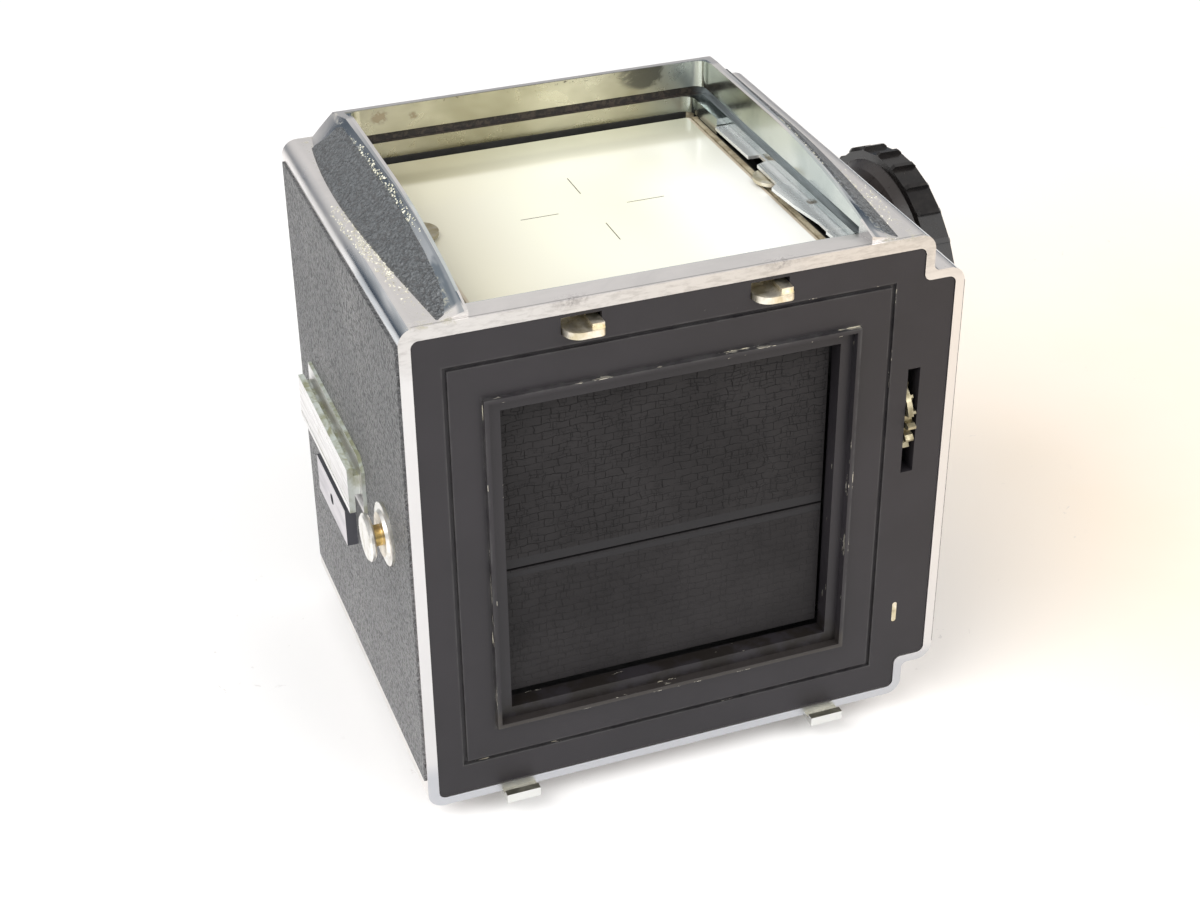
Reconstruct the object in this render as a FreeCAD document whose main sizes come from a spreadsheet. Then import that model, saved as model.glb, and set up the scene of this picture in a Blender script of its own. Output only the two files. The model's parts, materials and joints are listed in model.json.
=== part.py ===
import FreeCAD, Part
import math
import os
import re
import Sketcher
from FreeCAD import Placement, Rotation, Vector

# Medium format reflex camera body, seen without lens, film magazine and finder.
# Millimetres. +Z is up, the lens looks along -Y, the magazine side is +Y and
# +X is the operator's left. The origin is the mouth of the large tripod socket.

os.makedirs("parts", exist_ok=True)
doc = FreeCAD.newDocument("film_camera")

SIZES = [
    # body shell
    ("foot_height", 4.2, "underside of the shell above the surface it stands on"),
    ("half_width", 42.0, "optical axis to either side of the main box"),
    ("housing_reach", 5.4, "gear housing beyond the main box"),
    ("housing_low", 6.0, "foot of the gear housing above the shell's underside"),
    ("housing_drop", 6.3, "top of the gear housing below the shell's top"),
    ("shell_height", 86.9, "underside to top of the shell"),
    ("axis_height", 43.25, "underside of the shell to the optical axis"),
    ("front_face", 24.2, "front edge of the shell ahead of the tripod socket"),
    ("rear_plane", 46.0, "magazine face behind the tripod socket"),
    ("flange_ahead", 1.2, "lens flange ahead of the shell's front edge"),
    ("rim_proud", 0.2, "shell rim behind the magazine face"),
    ("wall_left", 1.8, "wall of the left side"),
    ("wall_right", 1.5, "wall beside and round the gear housing"),
    ("wall_top", 2.15, "top wall"),
    ("wall_bottom", 1.5, "bottom wall"),
    ("edge_radius", 2.6, "rounding of the long outer edges"),
    ("inner_radius", 1.2, "rounding of the long inner edges"),
    ("step_radius", 1.0, "rounding of the housing steps"),
    ("seat_gap", 0.05, "clearance of a plate in its seat"),
    ("running_gap", 0.05, "radial clearance of a turning or sliding fit"),
    # finder bay on top
    ("bay_inset", 10.6, "side of the shell to the inner wall of the finder bay"),
    ("bay_corner", 2.0, "rounding of the bay's front corners"),
    ("bay_front", 19.5, "inner face of the bay's front wall, ahead of the socket"),
    ("bay_strip", 4.8, "width of the strip between the bay and the magazine face"),
    ("crest_rise", 5.9, "crest of the rails above the shell's top"),
    ("crest_bend", 8.0, "where the crest starts to fall, behind the socket"),
    ("crest_arc", 145.0, "radius of the falling crest"),
    ("crest_front", 1.5, "thickness of the rails at their crest, at the front"),
    ("crest_rear", 0.3, "the same at the rear"),
    ("rail_foot_front", 5.1, "outer foot of a rail inside the shell's side, at its front"),
    ("rail_foot_rear", 6.4, "the same at its rear"),
    ("rail_swell", 3.3, "swell of that foot towards the side between its ends"),
    ("leather_band", 0.9, "bare band of a rail between its crest and its leather"),
    ("groove_depth", 1.2, "depth of the groove that takes the finder's edge"),
    ("groove_low", 0.97, "foot of that groove below the shell's top"),
    ("groove_height", 1.65, "height of that groove"),
    ("shelf_depth", 2.0, "shelf under the groove, at either side of the bay"),
    ("shelf_end", 8.2, "end of that shelf ahead of the socket"),
    ("shelf_gap", 0.35, "underside of the shelf above the screen"),
    # focusing screen
    ("screen_inset", 3.0, "inside of the mirror box to the edge of the screen"),
    ("screen_corner", 1.5, "rounding of the screen's corners"),
    ("screen_bevel", 0.7, "bevel round the top of the screen"),
    ("screen_front_gap", 1.3, "front edge of the screen behind the bay's front wall"),
    ("screen_rear_gap", 2.8, "rear edge of the screen ahead of the magazine plate"),
    ("screen_drop", 4.1, "top of the screen below the shell's top"),
    ("screen_thick", 2.4, "thickness of the screen"),
    ("frame_thick", 0.8, "thickness of the screen's carrier frame"),
    ("frame_margin", 1.6, "carrier frame beyond and inside the screen's edge"),
    ("clip_travel", 1.6, "travel of a screen clip"),
    ("clip_radius", 3.2, "radius of a clip's half-round tab"),
    ("clip_bite", 3.4, "reach of a clip over the screen when it is pushed in"),
    ("clip_guide", 2.6, "guide pin from the middle of the tab of a clip that is pushed in"),
    ("clip_left_y", 10.9, "left clip behind the socket"),
    ("clip_right_y", 12.4, "right clip behind the socket"),
    # magazine face
    ("plate_thick", 3.4, "thickness of the magazine plate"),
    ("groove_half_x", 35.85, "axis to the outside of the light trap groove, sideways"),
    ("groove_half_z", 36.3, "the same, upwards"),
    ("trap_width", 0.68, "width of the light trap groove"),
    ("trap_depth", 0.5, "depth of the light trap groove"),
    ("lip_half", 30.1, "axis to the outside of the gate's lip"),
    ("lip_wall", 0.7, "thickness of the lip"),
    ("lip_height", 0.8, "lip above the magazine face"),
    ("ledge_depth", 0.6, "ledge inside the lip below the magazine face"),
    ("gate_half", 27.3, "axis to the wall of the gate"),
    # rear flaps
    ("flap_half", 26.6, "half the width of a flap"),
    ("flap_thick", 1.0, "thickness of a flap"),
    ("flap_recess", 3.0, "rear face of the flaps below the magazine face"),
    ("flap_divide", 2.95, "top of the lower flap below the optical axis"),
    ("flap_gap", 0.4, "gap between the two flaps"),
    ("flap_barrel", 1.3, "outer radius of a flap's hinge barrel"),
    ("flap_axis_in", 5.2, "flap hinge line below the magazine face"),
    ("flap_axis_edge", 1.15, "flap hinge line inside the gate's wall"),
    ("pin_radius", 0.7, "radius of the hinge pins"),
    # mirror
    ("mirror_length", 52.0, "length of the mirror"),
    ("mirror_gap", 2.5, "mirror to the inside of the mirror box at either side"),
    ("mirror_thick", 1.3, "thickness of the mirror glass"),
    ("carrier_thick", 1.0, "thickness of the plate that carries the mirror"),
    ("mirror_start", 6.9, "mirror's upper end from the foot of its hinge line"),
    ("mirror_drop", 3.4, "mirror surface from its hinge line"),
    ("mirror_axis_y", 40.0, "mirror hinge line behind the socket"),
    ("mirror_axis_above", 34.0, "mirror hinge line above the optical axis"),
    ("mirror_barrel", 1.4, "outer radius of the mirror's hinge barrel"),
    # mirror box
    ("box_inset", 10.0, "side of the shell to the inside of the mirror box"),
    ("box_wall", 1.5, "wall of the mirror box"),
    ("box_floor", 8.0, "underside of the mirror box above the shell's underside"),
    # front and lens mount
    ("front_thick", 2.4, "thickness of the front plate"),
    ("front_inset", 0.3, "front plate behind the shell's front edge"),
    ("flange_radius", 34.4, "outer radius of the lens flange"),
    ("flange_seat", 2.4, "width of the flange's seat on the front plate"),
    ("throat_wall", 0.8, "wall of the flange's spigot in the front plate"),
    ("lip_reach", 1.6, "reach of the bayonet lip inside the throat"),
    ("lip_thick", 1.6, "thickness of the bayonet lip"),
    ("screw_inset", 1.2, "flange screws inside the flange's edge"),
    ("lock_inset", 1.8, "lens lock pin inside the flange's edge"),
    ("bayonet_opening", 18.0, "angle of each opening in the bayonet lip"),
    ("leather_thick", 0.4, "thickness of the leather covering"),
    ("sheet_low", 5.5, "left leather above the shell's underside"),
    ("sheet_high", 2.9, "left leather below the shell's top"),
    ("sheet_front", 1.7, "side leathers behind the shell's front edge"),
    # winding side
    ("knob_y", 3.6, "winding axis ahead of the socket"),
    ("knob_rise", 32.6, "winding axis above the lens cocking shaft"),
    ("knob_radius", 23.2, "outer radius of the winding knob"),
    ("knob_reach", 16.0, "outer face of the knob beyond the gear housing"),
    ("knob_rim", 4.5, "width of the knob's ribbed rim"),
    ("shaft_radius", 3.0, "radius of the winding shaft"),
    ("gear_module", 0.75, "pitch diameter of a gear over its teeth"),
    ("gear_room", 1.5, "gears inside the wall of the gear housing"),
    ("gear_width", 1.8, "width of the gears"),
    ("sector_gap", 2.0, "magazine wheel inside the gears"),
    ("sector_width", 1.4, "width of the magazine wheel"),
    ("drive_width", 0.5, "width of the magazine wheel's teeth for the idler"),
    ("carrier_gap", 0.8, "gear plate inside the magazine wheel"),
    ("carrier_width", 1.4, "thickness of the gear plate"),
    ("magazine_axis_in", 6.0, "magazine wheel's axis below the magazine face"),
    ("magazine_rise", 0.8, "magazine wheel's axis above the winding axis"),
    ("cocking_x", 13.0, "lens cocking shaft beside the optical axis"),
    ("cocking_height", 20.4, "lens cocking shaft above the shell's underside"),
    ("knob_ridges", 26, "ridges round the winding knob"),
    ("pad_width", 4.7, "width of a flat between two ridges"),
    ("pad_depth", 0.8, "depth of that flat"),
    ("cocking_radius", 2.0, "radius of the lens cocking shaft"),
    ("lay_radius", 1.4, "radius of the cross shaft"),
    ("bevel_radius", 4.0, "pitch radius of the bevel gears"),
    # fittings
    ("hook_spread", 14.8, "axis to the middle of either magazine hook"),
    ("hook_width", 5.95, "width of a magazine hook"),
    ("hook_drop", 5.4, "underside of the hooks below the shell's top"),
    ("hook_thick", 1.1, "thickness of a hook's tongue"),
    ("hook_reach", 2.7, "reach of the hooks behind the magazine face"),
    ("lug_inset", 15.1, "middle of either support lug inside the shell's sides"),
    ("lug_width", 5.65, "width of a support lug"),
    ("lug_reach", 2.9, "reach of the lugs behind the magazine face"),
    ("stud_y", 32.2, "strap studs behind the tripod socket"),
    ("stud_height", 44.5, "strap studs above the shell's underside"),
    ("stud_flange", 5.1, "radius of a strap stud's flange"),
    ("stud_shank", 1.7, "radius of a strap stud's shank"),
    ("stud_head", 3.85, "radius of a strap stud's head"),
    ("rail_front", 13.9, "front end of the accessory rail ahead of the socket"),
    ("rail_rear", 18.8, "rear end of the accessory rail behind the socket"),
    ("rail_low", 40.5, "lower edge of the rail above the shell's underside"),
    ("rail_tall", 8.1, "height of the rail's outer bar"),
    ("stop_front", 7.6, "front end of the stop plate ahead of the socket"),
    ("stop_rear", 11.4, "rear end of the stop plate behind the socket"),
    ("stop_low", 29.3, "lower edge of the stop plate above the shell's underside"),
    ("stop_tall", 6.9, "height of the stop plate"),
    ("stop_thick", 1.8, "thickness of the stop plate"),
    ("foot_half_x", 21.0, "half the width of the foot plate"),
    ("foot_front", 20.0, "front edge of the foot plate ahead of the socket"),
    ("foot_rear", 24.0, "rear edge of the foot plate behind the socket"),
    ("socket_radius", 4.76, "radius of the large tripod socket"),
    ("small_socket_radius", 3.175, "radius of the small tripod socket"),
    ("small_socket_y", 12.5, "small tripod socket behind the large one"),
    ("release_inset", 6.7, "release buttons inside the shell's sides"),
    ("release_height", 12.5, "release button above the shell's underside"),
    ("release_radius", 4.0, "radius of the release button"),
    ("release_travel", 2.6, "travel of the release button"),
    ("unlock_travel", 2.2, "travel of the lens release button"),
]

sheet = doc.addObject("Spreadsheet::Sheet", "sizes")
for row, (alias, value, meaning) in enumerate(SIZES, start=1):
    sheet.set("A%d" % row, meaning)
    sheet.set("B%d" % row, str(value))
    sheet.setAlias("B%d" % row, alias)
doc.recompute()


class Sizes:
    """The sheet's values by name, for the few shapes that are worked out here."""


s = Sizes()
for alias, value, meaning in SIZES:
    setattr(s, alias, float(sheet.get(alias)))


# Sizes that follow from others by a named clearance

FOLLOWS = {
    "box_half": "(half_width - box_inset)",
    "release_x": "(half_width - release_inset)",
    "lug_spread": "(half_width - lug_inset)",
    "spigot_radius": "(flange_radius - flange_seat)",
    "throat_radius": "(spigot_radius - throat_wall)",
    "lip_radius": "(throat_radius - lip_reach)",
    "mirror_half": "(box_half - mirror_gap)",
    "screen_half": "(box_half - screen_inset)",
    "bay_half": "(half_width - bay_inset)",
    "clip_in": "(screen_half - clip_bite + clip_radius)",
    "housing_half": "(half_width + housing_reach)",
    "gear_plane": "(housing_half - wall_right - gear_room - gear_width)",
    "sector_plane": "(gear_plane - sector_gap - sector_width)",
    "knob_face": "(housing_half + knob_reach)",
    "knob_height": "(cocking_height + knob_rise)",
    "magazine_height": "(knob_height + magazine_rise)",
}


# Formulas that several pieces share

TOP = "(foot_height + shell_height)"
AXIS = "(foot_height + axis_height)"
HOUSING_TOP = "(foot_height + shell_height - housing_drop)"
HOUSING_LOW = "(foot_height + housing_low)"
SIDE = "(half_width + leather_thick)"
FLAP_REAR = "(rear_plane - flap_recess)"
FLAP_Y = "(rear_plane - flap_axis_in)"
SCREEN_TOP = "(" + TOP + " - screen_drop)"
SCREEN_LOW = "(" + SCREEN_TOP + " - screen_thick)"
BOX_TOP = "(" + SCREEN_LOW + " - frame_thick)"
KNOB_Z = "(foot_height + knob_height)"
STUD_Z = "(foot_height + stud_height)"
PLATE_FRONT = "(rear_plane - plate_thick)"
FRONT_BACK = "(front_face - front_inset - front_thick)"
RELEASE_Z = "(foot_height + release_height)"


# Helpers: parametric pieces of geometry

def linked(formula):
    """The formula with each name pointed at its cell, or at the sizes that it follows from."""
    def cell(match):
        name = match.group()
        return linked(FOLLOWS[name]) if name in FOLLOWS else "sizes." + name
    return re.sub(r"[a-z][a-z0-9_]*\b(?!\()", cell, formula)


def bind(thing, prop, formula):
    """Ties one property to the sheet through a formula."""
    thing.setExpression(prop, linked(formula))


def place(thing, x, y, z, turn=None):
    thing.Placement = Placement(Vector(), turn or Rotation())
    for letter, formula in (("x", x), ("y", y), ("z", z)):
        bind(thing, "Placement.Base." + letter, formula)
    return thing


def block(name, x, y, z):
    """A box from its low and high formulas along each axis."""
    box = doc.addObject("Part::Box", name)
    for prop, (low, high) in (("Length", x), ("Width", y), ("Height", z)):
        bind(box, prop, "(%s) - (%s)" % (high, low))
    return place(box, x[0], y[0], z[0])


TURNS = {
    "x": Rotation(Vector(0, 1, 0), 90),
    "y": Rotation(Vector(1, 0, 0), -90),
    "z": Rotation(),
}


def rod(name, axis, radius, start, end, across):
    """A cylinder along x, y or z from start to end; across is its centre."""
    cylinder = doc.addObject("Part::Cylinder", name)
    bind(cylinder, "Radius", radius)
    bind(cylinder, "Height", "(%s) - (%s)" % (end, start))
    centre = list(across)
    centre.insert("xyz".index(axis), start)
    return place(cylinder, centre[0], centre[1], centre[2], TURNS[axis])


def cone(name, axis, radius_low, radius_high, start, end, across):
    """A cone frustum along x, y or z; across is its centre."""
    frustum = doc.addObject("Part::Cone", name)
    bind(frustum, "Radius1", radius_low)
    bind(frustum, "Radius2", radius_high)
    bind(frustum, "Height", "(%s) - (%s)" % (end, start))
    centre = list(across)
    centre.insert("xyz".index(axis), start)
    return place(frustum, centre[0], centre[1], centre[2], TURNS[axis])


def join(name, *pieces):
    fused = doc.addObject("Part::MultiFuse", name)
    fused.Shapes = list(pieces)
    return fused


def cut(name, base, *tools):
    """The base less one or more tools."""
    tool = tools[0] if len(tools) == 1 else join(name + "_tools", *tools)
    result = doc.addObject("Part::Cut", name)
    result.Base = base
    result.Tool = tool
    return result


def common(name, *pieces):
    shared = doc.addObject("Part::MultiCommon", name)
    shared.Shapes = list(pieces)
    return shared


def body(name):
    return doc.addObject("PartDesign::Body", name)


def origin_plane(owner, role):
    return next(f for f in owner.Origin.OriginFeatures if f.Role == role)


def sketch(owner, role, offset, name):
    drawing = owner.newObject("Sketcher::SketchObject", owner.Name + "_" + name)
    drawing.AttachmentSupport = (origin_plane(owner, role), [""])
    drawing.MapMode = "FlatFace"
    bind(drawing, "AttachmentOffset.Base.z", offset)
    return drawing


def fix_point(drawing, edge, end, corner):
    for kind, formula in zip(("DistanceX", "DistanceY"), corner):
        index = drawing.addConstraint(Sketcher.Constraint(kind, -1, 1, edge, end, 1.0))
        bind(drawing, "Constraints[%d]" % index, formula)


def outline(owner, role, offset, corners, name="outline", drawing=None):
    """A closed outline through corners given as pairs of formulas."""
    drawing = drawing or sketch(owner, role, offset, name)
    first = drawing.GeometryCount
    count = len(corners)
    ring = [Vector(10 * math.cos(2 * math.pi * k / count), 10 * math.sin(2 * math.pi * k / count), 0)
            for k in range(count)]
    for k in range(count):
        drawing.addGeometry(Part.LineSegment(ring[k], ring[(k + 1) % count]), False)
    for k in range(count):
        after = first + (k + 1) % count
        drawing.addConstraint(Sketcher.Constraint("Coincident", first + k, 2, after, 1))
    for k, corner in enumerate(corners):
        fix_point(drawing, first + k, 1, corner)
    return drawing


def circles(owner, role, offset, rounds, name="circles"):
    """Circles given as centre and radius formulas."""
    drawing = sketch(owner, role, offset, name)
    for x, y, radius in rounds:
        index = drawing.addGeometry(Part.Circle(Vector(1, 1, 0), Vector(0, 0, 1), 2), False)
        fix_point(drawing, index, 3, (x, y))
        size = drawing.addConstraint(Sketcher.Constraint("Radius", index, 2.0))
        bind(drawing, "Constraints[%d]" % size, radius)
    return drawing


def feature(owner, kind, drawing, length, backwards=False):
    """A pad or a pocket of the drawing, to a length that is a formula."""
    made = owner.newObject("PartDesign::" + kind, drawing.Name + "_" + kind.lower())
    made.Profile = drawing
    made.Reversed = backwards
    bind(made, "Length", length)
    return made


def pad(owner, drawing, length, backwards=False):
    return feature(owner, "Pad", drawing, length, backwards)


def pocket(owner, drawing, length, backwards=False):
    """A pocket whose volume is compared, because a wrong side cuts nothing."""
    base = owner.Tip
    made = feature(owner, "Pocket", drawing, length, backwards)
    doc.recompute([drawing, base, made])
    if base and not made.Shape.Volume < base.Shape.Volume - 1e-6:
        raise RuntimeError(drawing.Name + " cuts nothing")
    return made


def revolve(owner, drawing, axis):
    """A turned piece about the drawing's horizontal or vertical axis."""
    made = owner.newObject("PartDesign::Revolution", drawing.Name + "_revolution")
    made.Profile = drawing
    made.ReferenceAxis = (drawing, [axis])
    made.Angle = 360
    return made


def dress_edges(owner, kind, size, wanted, name):
    """A fillet or a chamfer on the edges of the body's tip that the test picks."""
    base = owner.Tip
    doc.recompute()
    names = ["Edge%d" % (k + 1) for k, edge in enumerate(base.Shape.Edges) if wanted(edge)]
    if not names:
        raise RuntimeError(owner.Name + ": no edge to dress")
    made = owner.newObject("PartDesign::" + kind, owner.Name + "_" + name)
    made.Base = (base, names)
    bind(made, "Radius" if kind == "Fillet" else "Size", size)
    return made


def round_edges(owner, radius, wanted, name="rounding"):
    return dress_edges(owner, "Fillet", radius, wanted, name)


def round_corners(owner, drawing, radius, name="corners"):
    """Rounds the edges along Y that start in the corners of a drawing on the XZ plane."""
    doc.recompute()
    corners = [(v.X, v.Z) for v in drawing.Shape.Vertexes]

    def at_corner(edge):
        if not runs_along(edge, Y_AXIS):
            return False
        middle = edge.CenterOfMass
        return any(math.hypot(middle.x - x, middle.z - z) < 0.01 for x, z in corners)

    return round_edges(owner, radius, at_corner, name)


def runs_along(edge, direction):
    """True for a straight edge along the direction."""
    if not isinstance(edge.Curve, (Part.Line, Part.LineSegment)):
        return False
    ends = edge.lastVertex().Point - edge.firstVertex().Point
    return ends.Length > 0.01 and abs(abs(ends.normalize().dot(direction)) - 1) < 1e-6


X_AXIS = Vector(1, 0, 0)
Y_AXIS = Vector(0, 1, 0)
Z_AXIS = Vector(0, 0, 1)


def rectangle(x, z):
    """Corners of a rectangle from low and high formulas."""
    return [(x[0], z[0]), (x[1], z[0]), (x[1], z[1]), (x[0], z[1])]


def square_about_axis(half_x, half_z):
    return rectangle(("-(%s)" % half_x, half_x),
                     (AXIS + " - (%s)" % half_z, AXIS + " + (%s)" % half_z))


NODES = []


def node(thing, label):
    """Keeps a finished sub-part under its name."""
    thing.Label = label
    NODES.append(thing)
    return thing


def solid_node(label, shape, at=Vector(), turn=None):
    """A sub-part whose shape is worked out here, placed after it is shaped."""
    thing = doc.addObject("Part::Feature", label)
    thing.Shape = shape
    thing.Placement = Placement(at, turn or Rotation())
    return node(thing, label)


# Toothed wheels

def gear_outline(teeth, module, phase, backlash=0.10):
    """Points of a spur gear: root, pitch and tip of each flank, thinned by the backlash."""
    pitch = module * teeth / 2
    base = pitch * math.cos(math.radians(20))
    root = pitch - 1.2 * module
    tip = pitch + 0.95 * module
    half = math.pi / (2 * teeth) - backlash / (2 * pitch)

    def involute(radius):
        angle = math.acos(min(1.0, base / radius))
        return math.tan(angle) - angle

    def half_angle(radius):
        return half + involute(pitch) - involute(max(radius, base))

    flank = [pitch, tip]
    points = []
    for k in range(teeth):
        middle = phase + 2 * math.pi * k / teeth
        points.append((root, middle - half_angle(root)))
        points += [(r, middle - half_angle(r)) for r in flank]
        points += [(r, middle + half_angle(r)) for r in reversed(flank)]
        points.append((root, middle + half_angle(root)))
    return [(r * math.cos(a), r * math.sin(a)) for r, a in points]


def gear_solid(teeth, phase, width, bore, holes=0):
    """A spur gear whose face is in the YZ plane and whose width runs along +X."""
    flat = [Vector(0, y, z) for y, z in gear_outline(teeth, s.gear_module, phase)]
    gear = Part.Face(Part.makePolygon(flat + flat[:1])).extrude(Vector(width, 0, 0))
    gear = gear.cut(Part.makeCylinder(bore, width, Vector(), X_AXIS))
    pitch = s.gear_module * teeth / 2
    for k in range(holes):
        angle = 2 * math.pi * k / holes
        middle = Vector(0, 0.6 * pitch * math.cos(angle), 0.6 * pitch * math.sin(angle))
        gear = gear.cut(Part.makeCylinder(0.19 * pitch, width, middle, X_AXIS))
    return gear


def mesh_phase(from_centre, to_centre, from_teeth, from_phase, to_teeth):
    """Phase that puts the second gear's gap on the first gear's tooth."""
    along = math.atan2(to_centre[1] - from_centre[1], to_centre[0] - from_centre[0])
    first = (along - from_phase) * from_teeth / (2 * math.pi)
    second = 0.5 - first
    return along + math.pi - second * 2 * math.pi / to_teeth


def meet(first, second, reach_first, reach_second, side):
    """Where a gear sits that touches two others; side picks one of the two places."""
    dy = second[0] - first[0]
    dz = second[1] - first[1]
    apart = math.hypot(dy, dz)
    along = (reach_first ** 2 - reach_second ** 2 + apart ** 2) / (2 * apart)
    off = side * math.sqrt(reach_first ** 2 - along ** 2)
    return (first[0] + (along * dy - off * dz) / apart, first[1] + (along * dz + off * dy) / apart)


def bevel_solid(teeth, pitch, face, phase, bore, back):
    """A mitre gear about Z with its apex at the origin and its large end below."""
    module = 2 * pitch / teeth

    def ring(distance):
        scale = distance / pitch
        points = [Vector(x * scale, y * scale, -distance)
                  for x, y in gear_outline(teeth, module, phase, backlash=0.16)]
        return Part.makePolygon(points + points[:1])

    gear = Part.makeLoft([ring(pitch), ring(pitch - face)], True, True)
    hub = Part.makeCylinder(pitch * 0.62, back, Vector(0, 0, -pitch - back), Z_AXIS)
    return gear.fuse(hub).cut(Part.makeCylinder(bore, 4 * pitch, Vector(0, 0, -3 * pitch), Z_AXIS))


# Body shell: a box with a gear housing at its right, open at front and rear

def inside_corners(gap):
    """The shell's inside outline, smaller all round by a gap."""
    left = "half_width - wall_left - " + gap
    right = "-(half_width - wall_right) + " + gap
    housing = "-(housing_half - wall_right) + " + gap
    top = TOP + " - wall_top - " + gap
    low = "foot_height + wall_bottom + " + gap
    step_top = HOUSING_TOP + " - wall_right - " + gap
    step_low = HOUSING_LOW + " + wall_right + " + gap
    return [(left, low), (left, top), (right, top), (right, step_top), (housing, step_top),
            (housing, step_low), (right, step_low), (right, low)]


def make_shell_box():
    shell = body("shell_box")
    outer = outline(shell, "XZ_Plane", "-(rear_plane + rim_proud)", [
        ("half_width", "foot_height"),
        ("half_width", TOP),
        ("-half_width", TOP),
        ("-half_width", HOUSING_TOP),
        ("-housing_half", HOUSING_TOP),
        ("-housing_half", HOUSING_LOW),
        ("-half_width", HOUSING_LOW),
        ("-half_width", "foot_height"),
    ])
    pad(shell, outer, "rear_plane + rim_proud + front_face")
    top = s.foot_height + s.shell_height

    def convex(edge):
        if not runs_along(edge, Y_AXIS):
            return False
        at = edge.CenterOfMass
        on_main = abs(at.z - top) < 0.01 or abs(at.z - s.foot_height) < 0.01
        return on_main or abs(abs(at.x) - (s.half_width + s.housing_reach)) < 0.01

    def concave(edge):
        return runs_along(edge, Y_AXIS) and abs(edge.CenterOfMass.x + s.half_width) < 0.01

    round_edges(shell, "edge_radius", convex, "long_edges")
    round_edges(shell, "step_radius", concave, "steps")
    inner = outline(shell, "XZ_Plane", "-(rear_plane + rim_proud)", inside_corners("0"), "inside")
    pocket(shell, inner, "rear_plane + rim_proud + front_face", backwards=True)
    round_corners(shell, inner, "inner_radius")
    return shell


def make_crest_profile():
    """The rails seen from the side: level, then falling on an arc, with a sloping front."""
    crest = TOP + " + crest_rise"
    front = body("crest_front")
    drawing = outline(front, "YZ_Plane", "-60", [
        ("crest_bend", TOP + " - 1"),
        ("crest_bend", crest),
        ("-(bay_front - 4)", crest),
        ("-bay_front", crest + " - 0.7"),
        ("-(bay_front + 1.7)", crest + " - 0.9"),
        ("-(front_face - 0.6)", TOP),
        ("-(front_face - 0.6)", TOP + " - 1"),
    ])
    pad(front, drawing, "120")
    behind = block("crest_behind", ("-60", "60"), ("crest_bend", "rear_plane + 5"),
                   (TOP + " - 1", crest + " + 4"))
    falling = rod("crest_fall", "x", "crest_arc", "-60", "60", ("crest_bend", crest + " - crest_arc"))
    return join("crest_profile", front, common("crest_rear", behind, falling))


def crest_height(y):
    """Formula for the crest above the shell's top at a distance behind the socket."""
    return "(crest_rise - crest_arc + sqrt(crest_arc ^ 2 - max(0; %s - crest_bend) ^ 2))" % y


RAIL_SECTIONS = 7


def rail_section(k, proud):
    """Place and outline of one section through both rails; the slopes run on over the crest."""
    part = "(%d / %d)" % (k, RAIL_SECTIONS - 1)
    y = "(%s * (rear_plane - 0.4 + front_face - 0.6) - front_face + 0.6)" % part
    swell = "4 * %s * (1 - %s) * rail_swell * (1 - 0.56 * %s)" % (part, part, part)
    inset = "(rail_foot_front + %s * (rail_foot_rear - rail_foot_front))" % part
    foot = "(half_width - %s + %s + %s)" % (inset, swell, proud)
    edge = "(bay_half + crest_front + %s * (crest_rear - crest_front) + %s)" % (part, proud)
    top = "(%s + 1.2 * (%s - %s))" % (foot, edge, foot)
    crest = TOP + " + 1.2 * " + crest_height(y)
    low = TOP + " - 1"
    right = [(foot, low), (foot, TOP), (top, crest)]
    return y, right + [("-" + x, z) for x, z in reversed(right)]


def make_hump(name, proud):
    """Long tapered block that the rails are cut from; proud widens it on its slopes."""
    hump = body(name)
    drawings = []
    for k in range(RAIL_SECTIONS):
        y, corners = rail_section(k, proud)
        drawings.append(outline(hump, "XZ_Plane", "-" + y, corners, "section_%d" % k))
    loft = hump.newObject("PartDesign::AdditiveLoft", name + "_loft")
    loft.Profile = drawings[0]
    loft.Sections = drawings[1:]
    return hump


def rounded_bay(name, half, front, rear, z, corner):
    """A block over the bay whose two front corners are rounded."""
    bay = body(name)
    plan = outline(bay, "XY_Plane", z[0], rectangle(("-(%s)" % half, half), ("-(%s)" % front, rear)))
    pad(bay, plan, "(%s) - (%s)" % (z[1], z[0]))
    round_edges(bay, corner, lambda e: runs_along(e, Z_AXIS) and e.CenterOfMass.y < 0)
    return bay


def make_bay_shelf():
    """Shelf under the finder's groove: along the bay's front and a short way along its sides."""
    low, high = SCREEN_TOP + " + shelf_gap", TOP + " - groove_low"
    solid = block("shelf_solid", ("-(bay_half + 1)", "bay_half + 1"),
                  ("-(bay_front + 1.5)", "-shelf_end"), (low, high))
    opening = rounded_bay("shelf_opening", "bay_half - shelf_depth", "bay_front", "5",
                          (low + " - 1", high + " + 1"), "bay_corner")
    return cut("bay_shelf", solid, opening)


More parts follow.
